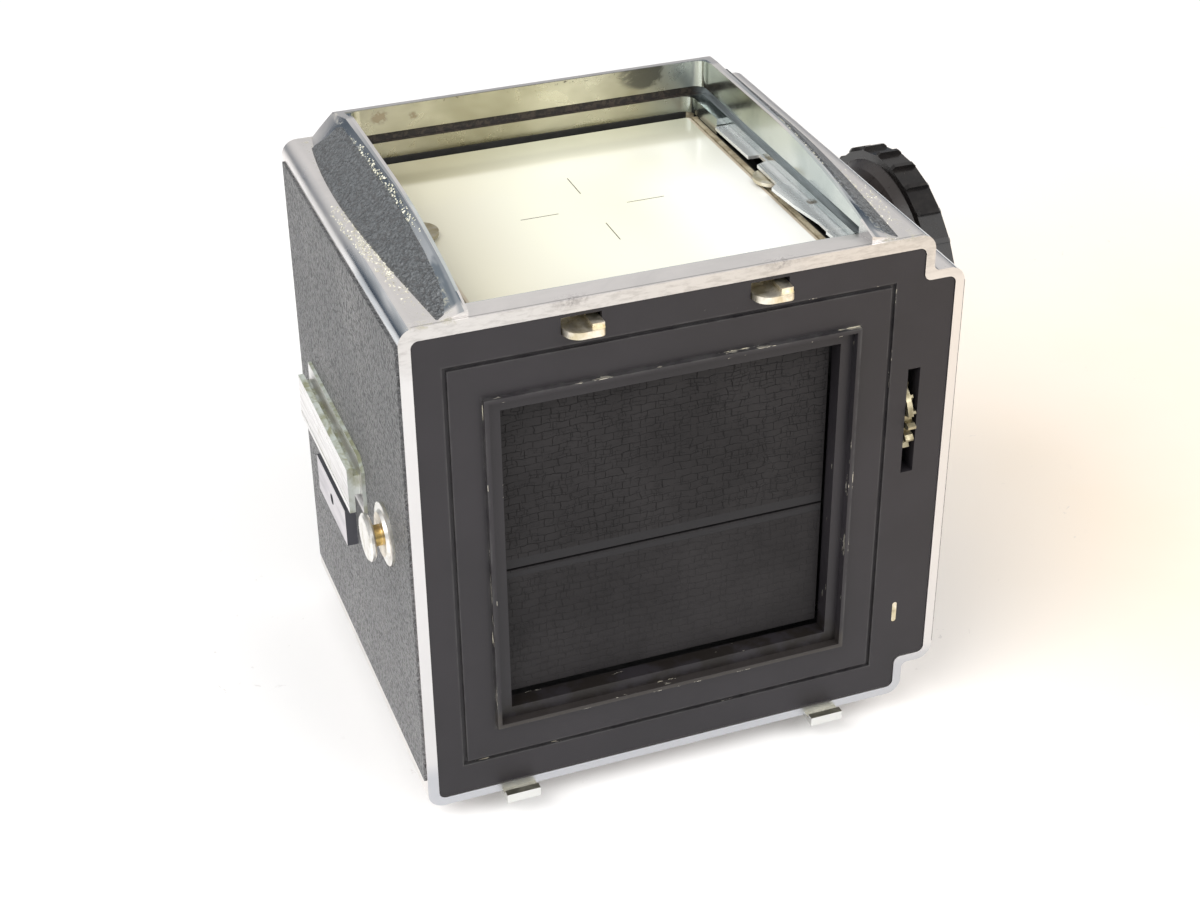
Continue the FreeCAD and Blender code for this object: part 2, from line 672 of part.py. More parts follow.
def make_body_shell():
    rails = common("finder_rails", make_hump("finder_hump", "0"), make_crest_profile())
    inner = ("-bay_half", "bay_half")
    strip_front = "rear_plane - bay_strip"
    above = TOP + " + 20"
    bay = rounded_bay("bay_opening", "bay_half", "bay_front", strip_front,
                      (TOP + " - wall_top - 1", above), "bay_corner")
    over_strip = block("strip_opening", inner, (strip_front + " - 1", "rear_plane + 5"), (TOP, above))
    strip_step = block("strip_step", inner, (strip_front + " - 1", "rear_plane - 2.6"),
                       (TOP + " - 0.3", TOP + " + 1"))
    groove_low = TOP + " - groove_low"
    groove = rounded_bay("finder_groove", "bay_half + groove_depth", "bay_front + groove_depth", strip_front,
                         (groove_low, groove_low + " + groove_height"), "bay_corner + groove_depth")
    cuts = [bay, over_strip, strip_step, groove]
    cuts.append(rod("bearing_hole", "x", "shaft_radius + 4.5", "-60", "-half_width", ("-knob_y", KNOB_Z)))
    cuts.append(rod("lever_hole", "x", "1.2 + running_gap", "-60", "-half_width", LEVER))
    cuts.append(rod("stud_hole_left", "x", "stud_shank", "half_width - 3", "60", ("stud_y", STUD_Z)))
    cuts.append(rod("stud_hole_right", "x", "stud_shank", "-60", "-half_width", ("stud_y", STUD_Z)))
    cuts.append(rod("socket_hole", "z", "socket_radius + 2.2", "0", "foot_height + 3", ("0", "0")))
    cuts.append(rod("small_socket_hole", "z", "small_socket_radius + 1.8", "0", "foot_height + 3",
                    ("0", "small_socket_y")))
    shell = cut("shell_cut", join("shell_and_rails", make_shell_box(), rails), *cuts)
    node(join("body_shell", shell, make_bay_shelf()), "body_shell")


LEVER = ("14", "foot_height + 30")


# Magazine side

def rounded_slot(name, x, z, y):
    """A slot along Z with round ends: x and z from low to high."""
    middle = "((%s) + (%s)) / 2" % x
    half = "((%s) - (%s)) / 2" % (x[1], x[0])
    low = "(%s) + %s" % (z[0], half)
    high = "(%s) - %s" % (z[1], half)
    return join(name, block(name + "_bar", x, y, (low, high)),
                rod(name + "_low", "y", half, y[0], y[1], (middle, low)),
                rod(name + "_high", "y", half, y[0], y[1], (middle, high)))


SIGNAL_X = ("-half_width + 1.65", "-half_width + 2.55")
SIGNAL_Z = ("foot_height + 15.1", "foot_height + 19.1")


def make_rear_plate():
    plate = body("plate_body")
    face = outline(plate, "XZ_Plane", "-rear_plane", inside_corners("seat_gap"))
    pad(plate, face, "plate_thick")
    round_corners(plate, face, "inner_radius")
    lip = outline(plate, "XZ_Plane", "-rear_plane", square_about_axis("lip_half", "lip_half"), "lip")
    outline(plate, "", "", square_about_axis("lip_half - lip_wall", "lip_half - lip_wall"), drawing=lip)
    pad(plate, lip, "lip_height", backwards=True)
    trap = outline(plate, "XZ_Plane", "-rear_plane", square_about_axis("groove_half_x", "groove_half_z"),
                   "trap")
    outline(plate, "", "", square_about_axis("groove_half_x - trap_width", "groove_half_z - trap_width"),
            drawing=trap)
    pocket(plate, trap, "trap_depth", backwards=True)
    ledge = outline(plate, "XZ_Plane", "-rear_plane",
                    square_about_axis("lip_half - lip_wall", "lip_half - lip_wall"), "ledge")
    pocket(plate, ledge, "ledge_depth", backwards=True)
    gate = outline(plate, "XZ_Plane", "-rear_plane", square_about_axis("gate_half", "gate_half"), "gate")
    pocket(plate, gate, "plate_thick", backwards=True)
    through = (PLATE_FRONT + " - 1", "rear_plane + 1")
    wheel_z = "foot_height + magazine_height"
    holes = [block("wheel_slot", ("-(sector_plane + sector_width + 0.5)", "-(sector_plane - 0.2)"), through,
                   (wheel_z + " - 8.9", wheel_z + " + 10.1")),
             rounded_slot("signal_slot", SIGNAL_X, SIGNAL_Z, through)]
    for side, sign in (("left", "1"), ("right", "-1")):
        middle = "%s * hook_spread" % sign
        holes.append(block("hook_slot_" + side,
                           (middle + " - hook_width / 2 - 0.15", middle + " + hook_width / 2 + 0.15"),
                           through, (HOOK_Z + " - 0.1", HOOK_Z + " + hook_thick + 1.5")))
    node(cut("rear_plate", plate, *holes), "rear_plate")


HOOK_Z = TOP + " - hook_drop"


def make_flap(name, low, high, hinge_z, web):
    """A light-tight flap with a hinge barrel along its outer edge."""
    plate = block(name + "_plate", ("-flap_half", "flap_half"), (FLAP_REAR + " - flap_thick", FLAP_REAR),
                  (low, high))
    barrel = rod(name + "_barrel", "x", "flap_barrel", "-flap_half", "flap_half", (FLAP_Y, hinge_z))
    joint = block(name + "_web", ("-flap_half", "flap_half"), (FLAP_Y, FLAP_REAR + " - flap_thick"), web)
    bore = rod(name + "_bore", "x", "pin_radius + running_gap", "-60", "60", (FLAP_Y, hinge_z))
    node(cut(name, join(name + "_solid", plate, joint, barrel), bore), name)
    pin = rod(name.replace("flap", "flap_pin"), "x", "pin_radius", "-(box_half + box_wall)",
              "box_half + box_wall", (FLAP_Y, hinge_z))
    node(pin, pin.Name)


UPPER_HINGE = AXIS + " + gate_half - flap_axis_edge"
LOWER_HINGE = AXIS + " - gate_half + flap_axis_edge + 0.9"


def make_flaps():
    divide = AXIS + " - flap_divide"
    make_flap("upper_flap", divide + " + flap_gap", UPPER_HINGE + " + 0.7", UPPER_HINGE,
              (UPPER_HINGE + " - 0.9", UPPER_HINGE + " + 0.7"))
    make_flap("lower_flap", LOWER_HINGE + " - 0.7", divide, LOWER_HINGE,
              (LOWER_HINGE + " - 0.7", LOWER_HINGE + " + 0.9"))


def make_magazine_hooks():
    """Two D-shaped tongues over the magazine, each with a root under the top wall."""
    for side, sign in (("left", "1"), ("right", "-1")):
        middle = "%s * hook_spread" % sign
        low, high = middle + " - hook_width / 2", middle + " + hook_width / 2"
        tongue = body("hook_tongue_" + side)
        plan = outline(tongue, "XY_Plane", HOOK_Z, rectangle(
            (low, high), (PLATE_FRONT + " - 1.2", "rear_plane + hook_reach")))
        pad(tongue, plan, "hook_thick")
        tip = s.rear_plane + s.hook_reach
        middle_x = float(sign) * s.hook_spread

        def at_tip(edge, way):
            at = edge.CenterOfMass
            return runs_along(edge, Z_AXIS) and abs(at.y - tip) < 0.01 and way * (at.x - middle_x) > 0

        round_edges(tongue, "2.4", lambda e: at_tip(e, 1), "wide_corner")
        round_edges(tongue, "0.9", lambda e: at_tip(e, -1), "tight_corner")
        ridge = block("hook_ridge_" + side, (low, low + " + 1.9"),
                      (PLATE_FRONT + " - 1.2", "rear_plane + 1.7"), (HOOK_Z, HOOK_Z + " + hook_thick + 0.6"))
        root = block("hook_root_" + side, (low, high), (PLATE_FRONT + " - 1.2", PLATE_FRONT),
                     (HOOK_Z, TOP + " - wall_top"))
        node(join("hook_" + side, tongue, ridge, root), "hook_" + side)


def make_support_lugs():
    """Two feet under the magazine side that carry the magazine's lower edge."""
    for side, sign in (("left", "1"), ("right", "-1")):
        middle = "%s * lug_spread" % sign
        x = (middle + " - lug_width / 2", middle + " + lug_width / 2")
        reach = "rear_plane + lug_reach"
        under = block("lug_under_" + side, x, ("rear_plane - 9", reach), ("foot_height - 0.5", "foot_height"))
        raised = block("lug_raised_" + side, x, ("rear_plane + rim_proud", reach),
                       ("foot_height", "foot_height + 0.4"))
        end = block("lug_end_" + side, x, (reach + " - 1.2", reach), ("foot_height", "foot_height + 1.1"))
        node(join("lug_" + side, under, raised, end), "lug_" + side)


def make_signal_pin():
    """Bright flag in the round-ended slot, held by a collar behind the plate."""
    flag = rounded_slot("signal_flag", (SIGNAL_X[0] + " + running_gap", SIGNAL_X[1] + " - running_gap"),
                        (SIGNAL_Z[0] + " + running_gap", SIGNAL_Z[1] + " - running_gap"),
                        (PLATE_FRONT + " - 3.5", "rear_plane - 0.05"))
    collar = block("signal_collar", (SIGNAL_X[0] + " - 0.6", SIGNAL_X[1] + " + 0.6"),
                   (PLATE_FRONT + " - 1.25", PLATE_FRONT + " - 0.05"),
                   (SIGNAL_Z[0] + " - 0.8", SIGNAL_Z[1] + " + 0.8"))
    node(join("interlock_pin", flag, collar), "interlock_pin")


# Mirror box, mirror, screen

def make_mirror_box():
    length = (("-" + FRONT_BACK), PLATE_FRONT)
    low = "foot_height + box_floor"
    outer = block("box_outer", ("-(box_half + box_wall)", "box_half + box_wall"), length, (low, BOX_TOP))
    inner = block("box_inner", ("-box_half", "box_half"), ("-" + FRONT_BACK + " - 1", PLATE_FRONT + " + 1"),
                  (low + " + box_wall", BOX_TOP + " + 1"))
    notch = block("arm_notch", ("box_half - 1", "box_half + box_wall + 1"),
                  ("-" + FRONT_BACK + " - 1", "-" + FRONT_BACK + " + unlock_travel + 2.4"),
                  (RELEASE_Z + " - 3", RELEASE_Z + " + 10"))
    across = ("-60", "60")
    holes = [rod("upper_flap_seat", "x", "pin_radius", across[0], across[1], (FLAP_Y, UPPER_HINGE)),
             rod("lower_flap_seat", "x", "pin_radius", across[0], across[1], (FLAP_Y, LOWER_HINGE)),
             rod("mirror_seat", "x", "pin_radius", across[0], across[1], MIRROR_HINGE),
             rod("cross_shaft_hole", "x", "lay_radius + running_gap", "-60", "0", LAY)]
    node(cut("mirror_box", outer, inner, notch, *holes), "mirror_box")


MIRROR_HINGE = ("mirror_axis_y", AXIS + " + mirror_axis_above")
LAY = ("-knob_y", "foot_height + cocking_height")


def tilted(name, x, along, inward):
    """A plate parallel to the mirror: along runs from the hinge to its free end."""
    plate = doc.addObject("Part::Box", name)
    for prop, (low, high) in (("Length", x), ("Width", along), ("Height", inward)):
        bind(plate, prop, "(%s) - (%s)" % (high, low))
    plate.Placement = Placement(Vector(), Rotation(X_AXIS, 225))
    bind(plate, "Placement.Base.x", x[0])
    bind(plate, "Placement.Base.y", "mirror_axis_y + (-(%s) + (%s)) * sqrt(0.5)" % (along[0], inward[0]))
    bind(plate, "Placement.Base.z", MIRROR_HINGE[1] + " - ((%s) + (%s)) * sqrt(0.5)" % (along[0], inward[0]))
    return plate


def make_mirror():
    back = "mirror_drop + mirror_thick"
    full = "mirror_start + mirror_length"
    glass = tilted("mirror", ("-mirror_half", "mirror_half"), ("mirror_start", full), ("mirror_drop", back))
    node(glass, "mirror")
    tray = tilted("carrier_tray", ("-mirror_half", "mirror_half"), ("mirror_start - 0.3", full + " + 0.3"),
                  (back, back + " + carrier_thick"))
    pieces = [tray]
    for side, x in (("left", ("mirror_half - 2.2", "mirror_half")),
                    ("right", ("-mirror_half", "-(mirror_half - 2.2)"))):
        pieces.append(tilted("arm_" + side, x, ("0", "3.2"), ("-0.9", "0.9")))
        pieces.append(tilted("arm_drop_" + side, x, ("1.9", "3.2"), ("0.5", back)))
        pieces.append(tilted("arm_foot_" + side, x, ("1.9", "mirror_start - 0.3"),
                             ("mirror_drop - 0.2", back)))
        pieces.append(tilted("arm_step_" + side, x, ("mirror_start - 1.2", "mirror_start - 0.3"),
                             (back + " - 0.5", back + " + 0.4")))
        pieces.append(rod("mirror_barrel_" + side, "x", "mirror_barrel", x[0], x[1], MIRROR_HINGE))
    end = tilted("carrier_lip", ("-mirror_half + 4", "mirror_half - 4"), (full, full + " + 0.3"),
                 ("mirror_drop + 0.3", back + " + carrier_thick"))
    bore = rod("mirror_bore", "x", "pin_radius + running_gap", "-60", "60", MIRROR_HINGE)
    node(cut("mirror_carrier", join("carrier_solid", end, *pieces), bore), "mirror_carrier")
    node(rod("mirror_pin", "x", "pin_radius", "-(box_half + box_wall)", "box_half + box_wall", MIRROR_HINGE),
         "mirror_pin")


CLIP_Z = (SCREEN_TOP + " + 0.55", SCREEN_TOP + " + 1.15")
CLIP_GUIDE = "(clip_in + clip_guide)"


def make_screen():
    front, rear = "-(bay_front - screen_front_gap)", PLATE_FRONT + " - screen_rear_gap"
    screen = body("screen_body")
    plan = rectangle(("-screen_half", "screen_half"), (front, rear))
    pad(screen, outline(screen, "XY_Plane", SCREEN_LOW, plan), "screen_thick")
    round_edges(screen, "screen_corner", lambda e: runs_along(e, Z_AXIS))
    top = s.foot_height + s.shell_height - s.screen_drop
    dress_edges(screen, "Chamfer", "screen_bevel", lambda e: abs(e.CenterOfMass.z - top) < 0.01, "bevel")
    node(screen, "focusing_screen")
    frame = body("frame_body")
    pad(frame, outline(frame, "XY_Plane", BOX_TOP, rectangle(
        ("-(box_half + box_wall)", "box_half + box_wall"), ("-" + FRONT_BACK, PLATE_FRONT))), "frame_thick")
    inner = "(screen_half - frame_margin)"
    window = outline(frame, "XY_Plane", SCREEN_LOW, rectangle(
        ("-" + inner, inner), (front + " + frame_margin", rear + " - frame_margin")), "window")
    pocket(frame, window, "frame_thick")
    wall = (SCREEN_LOW, SCREEN_TOP + " - 0.4")
    out, edge = "(screen_half + 1.2)", "(screen_half + 0.08)"
    along = (front + " - 0.08", rear + " + 0.08")
    pieces = [frame,
              block("screen_wall_left", (edge, out), along, wall),
              block("screen_wall_right", ("-" + out, "-" + edge), along, wall),
              block("screen_wall_rear", ("-" + out, out), (along[1], rear + " + 1.2"), wall),
              block("screen_wall_front", ("-" + out, out), ("-" + FRONT_BACK, "-bay_front + 0.2"),
                    (SCREEN_LOW, SCREEN_TOP + " + shelf_gap - 0.05"))]
    for side, sign in (("left", ""), ("right", "-")):
        guide = (sign + CLIP_GUIDE, "clip_%s_y" % side)
        pieces.append(rod("clip_seat_" + side, "z", "1.0", SCREEN_LOW, CLIP_Z[0] + " - 0.05", guide))
        pieces.append(rod("clip_guide_" + side, "z", "0.6", SCREEN_LOW, CLIP_Z[1] + " + 0.1", guide))
    node(join("screen_frame", *pieces), "screen_frame")


def make_screen_clips():
    """Half-round tabs over the screen's edge: the left one is pushed in, the right one out."""
    for side, sign, slid in (("left", "", "0"), ("right", "-", "clip_travel")):
        y = "clip_%s_y" % side
        middle = "(clip_in + %s)" % slid
        ends = [middle + " + clip_guide - clip_travel", middle + " + clip_guide"]
        outer = middle + " + clip_guide + 1.8"

        def span(low, high):
            return ("-(%s)" % high, "-(%s)" % low) if sign else (low, high)

        tab = rod("clip_tab_" + side, "z", "clip_radius", CLIP_Z[0], CLIP_Z[1], (sign + middle, y))
        bar = block("clip_bar_" + side, span(middle, outer), (y + " - 2.4", y + " + 2.4"), CLIP_Z)
        through = (CLIP_Z[0] + " - 1", CLIP_Z[1] + " + 1")
        slot = block("clip_slot_" + side, span(*ends),
                     (y + " - 0.6 - running_gap", y + " + 0.6 + running_gap"), through)
        rounds = [rod("clip_end_%s_%d" % (side, k), "z", "0.6 + running_gap", through[0], through[1],
                      ("%s(%s)" % (sign, x), y)) for k, x in enumerate(ends)]
        label = "screen_clip_" + side
        node(cut(label, join("clip_solid_" + side, tab, bar), slot, *rounds), label)


def make_finder_spring():
    """Stepped spring strip along the bay's right wall."""
    spring = body("finder_spring")
    edge = "-(bay_half + %s)"
    inner = "-(bay_half - %s)"
    plan = outline(spring, "XY_Plane", TOP + " - wall_top - 0.6", [
        (edge % "1.4", "-8.0"), (edge % "1.4", "39.0"), (inner % "2.3", "39.0"), (inner % "2.5", "35.4"),
        (inner % "2.1", "35.2"), (inner % "2.1", "31.9"), (inner % "3.1", "25.3"), (inner % "3.7", "18.0"),
        (inner % "2.2", "16.6"), (inner % "2.2", "9.0"), (inner % "0.2", "8.1"), (inner % "0.2", "5.5"),
        (inner % "2.2", "5.4"), (inner % "2.4", "-7.8")])
    pad(spring, plan, "0.55")
    node(spring, "finder_spring")


# Front: plate, bayonet flange, baffle, releases

def make_front_plate():
    plate = body("front_body")
    face = outline(plate, "XZ_Plane", "front_face - front_inset", inside_corners("seat_gap"))
    pad(plate, face, "front_thick", backwards=True)
    round_corners(plate, face, "inner_radius")
    rounds = circles(plate, "XZ_Plane", "front_face - front_inset", [
        ("0", AXIS, "spigot_radius"),
        ("-release_x", RELEASE_Z, "release_radius + 0.8"),
        ("release_x", RELEASE_Z, "release_radius - 0.6 + running_gap"),
        (LOCK[0], LOCK[1], "0.9 + running_gap")])
    pocket(plate, rounds, "front_thick")
    screws = [rod("plate_thread_%d" % k, "y", "0.6", "-30", "-20", at) for k, at in enumerate(SCREW_SPOTS)]
    node(cut("front_plate", plate, *screws), "front_plate")


def on_flange(inset, angle):
    """A place on the flange at an inset from its edge, as formulas for x and z."""
    reach = "(flange_radius - %s)" % inset
    return "%s * cos(%g)" % (reach, angle), "%s + %s * sin(%g)" % (AXIS, reach, angle)


LOCK = on_flange("lock_inset", -43.6)
SCREW_SPOTS = [on_flange("screw_inset", a) for a in (15, 105, 195, 285)]


def make_lens_flange():
    """Bayonet ring: a lip with four openings, a wider throat behind it and a spigot."""
    ring = body("flange_body")
    place(ring, "0", "0", AXIS)
    front, behind = "-(front_face + flange_ahead)", "-(front_face - front_inset)"
    turned = outline(ring, "XY_Plane", "0", [
        ("lip_radius", front), ("flange_radius - 0.4", front), ("flange_radius", front + " + 0.4"),
        ("flange_radius", behind), ("spigot_radius", behind), ("spigot_radius", "-" + FRONT_BACK),
        ("throat_radius", "-" + FRONT_BACK), ("throat_radius", front + " + lip_thick"),
        ("lip_radius", front + " + lip_thick")])
    revolve(ring, turned, "V_Axis")
    cuts = [rod("lock_hole", "y", "0.9 + running_gap", "-30", "-20", LOCK)]
    for k in range(4):
        wedge = doc.addObject("Part::Cylinder", "bayonet_opening_%d" % k)
        bind(wedge, "Radius", "throat_radius")
        bind(wedge, "Height", "lip_thick + 1")
        bind(wedge, "Angle", "bayonet_opening")
        wedge.Placement = Placement(Vector(), Rotation(Y_AXIS, 90 * k - 54) * TURNS["y"])
        bind(wedge, "Placement.Base.y", front + " - 1")
        bind(wedge, "Placement.Base.z", AXIS)
        cuts.append(wedge)
    for k, at in enumerate(SCREW_SPOTS):
        cuts.append(rod("flange_bore_%d" % k, "y", "0.6", "-30", "-20", at))
        cuts.append(rod("flange_seat_%d" % k, "y", "1.05", "-30", front + " + 0.7", at))
    node(cut("lens_flange", ring, *cuts), "lens_flange")


def make_flange_screws():
    head = "-(front_face + flange_ahead) + 0.1"
    for k, at in enumerate(SCREW_SPOTS):
        screw = join("screw_solid_%d" % k, rod("screw_shank_%d" % k, "y", "0.6", head, "-" + FRONT_BACK, at),
                     rod("screw_head_%d" % k, "y", "1.05", head, head + " + 0.6", at))
        slot = block("screw_slot_%d" % k, (at[0] + " - 2", at[0] + " + 2"), (head + " - 1", head + " + 0.3"),
                     (at[1] + " - 0.12", at[1] + " + 0.12"))
        node(cut("flange_screw_%d" % (k + 1), screw, slot), "flange_screw_%d" % (k + 1))


def make_throat_baffle():
    """Lower wall of the throat; it carries the lens cocking shaft."""
    front = "-" + FRONT_BACK
    through = (front + " - 1", front + " + 3")
    plate = block("baffle_plate", ("-box_half", "box_half - 11"), (front, front + " + 2"),
                  ("foot_height + box_floor + box_wall", COCKING[1] + " + 6.6"))
    shaft = rod("baffle_bore", "y", "cocking_radius + running_gap", through[0], through[1], COCKING)
    window = block("baffle_window", ("2", "16"), through, (COCKING[1] + " - 0.4", COCKING[1] + " + 10"))
    node(cut("throat_baffle", plate, shaft, window), "throat_baffle")


COCKING = ("-cocking_x", "foot_height + cocking_height")


def make_lens_release():
    """Button at the front, and behind the plate an arm with the lens lock pin."""
    face = "-(front_face + 2.0)"
    inside = "-" + FRONT_BACK
    button = rod("lens_release_button", "y", "release_radius - 0.6", face, inside + " + 0.1",
                 ("release_x", RELEASE_Z))
    node(button, "lens_release_button")
    arm = body("arm_body")
    plan = outline(arm, "XZ_Plane", FRONT_BACK + " - 0.1", [
        ("release_x + 1.6", RELEASE_Z + " - 1.8"), ("release_x + 1.6", RELEASE_Z + " + 1.8"),
        (LOCK[0] + " + 0.6", LOCK[1] + " + 1.6"), (LOCK[0] + " - 1.6", LOCK[1] + " + 0.4"),
        (LOCK[0] + " - 0.6", LOCK[1] + " - 1.6"), ("release_x - 3", RELEASE_Z + " - 1.8")])
    pad(arm, plan, "1.2", backwards=True)
    pin = rod("lock_pin", "y", "0.9", "-(front_face + flange_ahead + 1.1)", inside + " + 0.1", LOCK)
    node(join("lens_lock_arm", arm, pin), "lens_lock_arm")


def make_shutter_release():
    """Round button with a cable release socket, sliding in a collar with a floor."""
    at = ("-release_x", RELEASE_Z)
    front, back = "-(front_face + 0.9)", "-" + FRONT_BACK
    sleeve = rod("collar_sleeve", "y", "release_radius + 0.8", front, back, at)
    rim = rod("collar_rim", "y", "release_radius + 1.2", front, "-(front_face - front_inset)", at)
    bore = rod("collar_bore", "y", "release_radius + running_gap", "-40", back + " - 0.7", at)
    guide = rod("collar_guide", "y", "0.9 + running_gap", "-40", "0", at)
    node(cut("release_collar", join("collar_solid", sleeve, rim), bore, guide), "release_collar")
    rear = back + " - 0.8 - release_travel"
    head = rod("button_head", "y", "release_radius", rear + " - 2.7", rear, at)
    socket = cone("button_socket", "y", "1.3", "0.7", rear + " - 3.1", rear + " - 0.4", at)
    stem = rod("button_stem", "y", "0.9", rear + " - 0.3", back + " + 5", at)
    node(join("release_button", cut("button_cut", head, socket), stem), "release_button")


# Winding side

def make_knob():
    """Bell-shaped knob: a ribbed rim, a dished outer face and a smooth inner side."""
    bell = body("knob_bell")
    place(bell, "0", "-knob_y", KNOB_Z)
    inner = "-knob_face + knob_rim"
    turned = outline(bell, "XY_Plane", "0", [
        ("-knob_face + 1.2", "shaft_radius"), ("-knob_face + 1.2", "knob_radius - 5.4"),
        ("-knob_face", "knob_radius - 3.6"), ("-knob_face", "knob_radius - 0.5"),
        ("-knob_face + 0.5", "knob_radius"), (inner + " - 0.5", "knob_radius"),
        (inner, "knob_radius - 0.5"), (inner, "knob_radius - 2.2"), (inner + " + 1.6", "knob_radius - 3.4"),
        (inner + " + 3.4", "knob_radius - 6.4"), (inner + " + 4.8", "knob_radius - 10.4"),
        (inner + " + 6.2", "knob_radius - 13.4"), ("-(housing_half + 2.2)", "9.0"),
        ("-(housing_half + 2.2)", "shaft_radius")])
    revolve(bell, turned, "H_Axis")
    flats = []
    step = 360 / s.knob_ridges
    for k in range(int(s.knob_ridges)):
        angle = 94.5 + step * (k + 0.5)
        flat = block("knob_flat_%d" % k, ("-knob_face - 1", inner + " + 0.2"), ("0", "pad_width"),
                     ("0", "pad_depth + 1"))
        flat.Placement = Placement(Vector(), Rotation(X_AXIS, angle - 90))
        across, out = "cos(%.4f)" % angle, "sin(%.4f)" % angle
        reach = "(knob_radius - pad_depth)"
        bind(flat, "Placement.Base.x", "-knob_face - 1")
        bind(flat, "Placement.Base.y", "-knob_y + %s * %s - pad_width / 2 * %s" % (reach, across, out))
        bind(flat, "Placement.Base.z", "%s + %s * %s + pad_width / 2 * %s" % (KNOB_Z, reach, out, across))
        flats.append(flat)
    node(cut("winding_knob", bell, *flats), "winding_knob")
    cap = cone("cap_dome", "x", "knob_radius - 7.2", "knob_radius - 6.2", "-knob_face + 0.5",
               "-knob_face + 1.2", ("-knob_y", KNOB_Z))
    slot = rod("cap_dimple", "x", "2.2", "-knob_face - 1", "-knob_face + 0.8", ("-knob_y", KNOB_Z))
    node(cut("knob_cap", cap, slot), "knob_cap")


def make_winding_shaft():
    at = ("-knob_y", KNOB_Z)
    end = "-(sector_plane - carrier_gap - carrier_width - 0.8)"
    node(rod("winding_shaft", "x", "shaft_radius", "-knob_face + 1.2", end, at), "winding_shaft")
    face = "-(housing_half + 1.8)"
    bearing = join("bearing_solid",
                   rod("bearing_flange", "x", "9.0", face, "-housing_half", at),
                   rod("bearing_spigot", "x", "shaft_radius + 4.5", face, "-(housing_half - wall_right)", at))
    node(cut("knob_bearing", bearing, rod("bearing_bore", "x", "shaft_radius + running_gap", "-60", "0", at)),
         "knob_bearing")


def between(first, second, reach_first, reach_second, spare):
    """Teeth of the smallest wheel that fills the gap between two others, and a few to spare."""
    gap = math.dist(first, second) - reach_first - reach_second
    return math.ceil(gap / s.gear_module) + spare


def gear_places():
    """Centres, sizes and phases of the wheels, all turned by the winding shaft."""
    winding_z = s.foot_height + s.cocking_height + s.knob_rise
    centre = {
        "winding": (-s.knob_y, winding_z),
        "magazine": (s.rear_plane - s.magazine_axis_in, winding_z + s.magazine_rise),
        "cocking": (-s.knob_y, s.foot_height + s.cocking_height)}
    teeth = {"winding": 42, "magazine": 17, "cocking": 24}
    reach = {name: s.gear_module * count / 2 for name, count in teeth.items()}
    phase = {"winding": 0.0}
    for name, driven, spare, side in (("idler", "magazine", 0, -1), ("cocking_idler", "cocking", 3, 1)):
        ends = (centre["winding"], centre[driven])
        teeth[name] = between(*ends, reach["winding"], reach[driven], spare)
        reach[name] = s.gear_module * teeth[name] / 2
        centre[name] = meet(*ends, reach["winding"] + reach[name], reach[name] + reach[driven], side)
        for first, second in (("winding", name), (name, driven)):
            phase[second] = mesh_phase(centre[first], centre[second], teeth[first], phase[first],
                                       teeth[second])
    return teeth, reach, centre, phase


def make_gears():
    teeth, reach, centre, phase = gear_places()
    outer = -(s.half_width + s.housing_reach - s.wall_right - s.gear_room)

    def gear(name, label, x, width, bore, holes=0):
        shape = gear_solid(teeth[name], phase[name], width, bore, holes)
        solid_node(label, shape, Vector(x, *centre[name]))

    wheel_x = outer + s.gear_width + s.sector_gap
    drive = s.drive_width
    shown = s.sector_width - drive
    gear("winding", "winding_gear", outer, s.gear_width, s.shaft_radius, 5)
    gear("idler", "idler_gear", outer, wheel_x + drive - 0.05 - outer, 2.0 + s.running_gap, 5)
    gear("cocking_idler", "cocking_idler", outer, s.gear_width, 1.2 + s.running_gap)
    gear("cocking", "cocking_gear", outer, s.gear_width, s.lay_radius, 4)

    # The magazine wheel has teeth all round for the idler, and beside them a layer
    # whose teeth give way to a smooth sector where the slot is looked into from above.
    full = gear_solid(teeth["magazine"], phase["magazine"], drive, 1.6 + s.running_gap)
    beside = gear_solid(teeth["magazine"], phase["magazine"], shown, 1.6 + s.running_gap)
    disc = Part.makeCylinder(reach["magazine"] + 0.8, shown, Vector(), X_AXIS, 110)
    disc = disc.cut(Part.makeCylinder(reach["magazine"] - 1.4, shown, Vector(), X_AXIS))
    disc.rotate(Vector(), X_AXIS, -75)
    beside = beside.fuse(disc)
    beside.translate(Vector(drive, 0, 0))
    solid_node("magazine_wheel", full.fuse(beside).removeSplitter(), Vector(wheel_x, *centre["magazine"]))
    return centre


def make_gear_plate(centre):
    """Plate beside the mirror box with the pins that the loose wheels turn on."""
    outer = "-(sector_plane - carrier_gap)"
    inner = "-(sector_plane - carrier_gap - carrier_width)"
    plate = block("gear_plate_solid", (outer, inner), ("-" + FRONT_BACK, PLATE_FRONT),
                  ("foot_height + box_floor + 2", "foot_height + shell_height - 9"))
    windows = [block("gear_window_front", (outer + " - 1", inner + " + 1"), ("4", "28"),
                     ("foot_height + 64", "foot_height + 74")),
               block("gear_window_rear", (outer + " - 1", inner + " + 1"), ("10", "36"),
                     ("foot_height + 15", "foot_height + 36"))]
    holes = [rod("winding_bore", "x", "shaft_radius + running_gap", "-60", "0", ("-knob_y", KNOB_Z)),
             rod("cross_bore", "x", "lay_radius + running_gap", "-60", "0", LAY)]
    pins = []
    wall = "-(housing_half - wall_right)"
    for name, radius in (("idler", "2.0"), ("magazine", "1.6"), ("cocking_idler", "1.2")):
        at = ("%.6f" % centre[name][0], "%.6f" % centre[name][1])
        pins.append(rod(name + "_pin", "x", radius, wall, outer, at))
    node(join("gear_plate", cut("gear_plate_cut", plate, *(windows + holes)), *pins), "gear_plate")


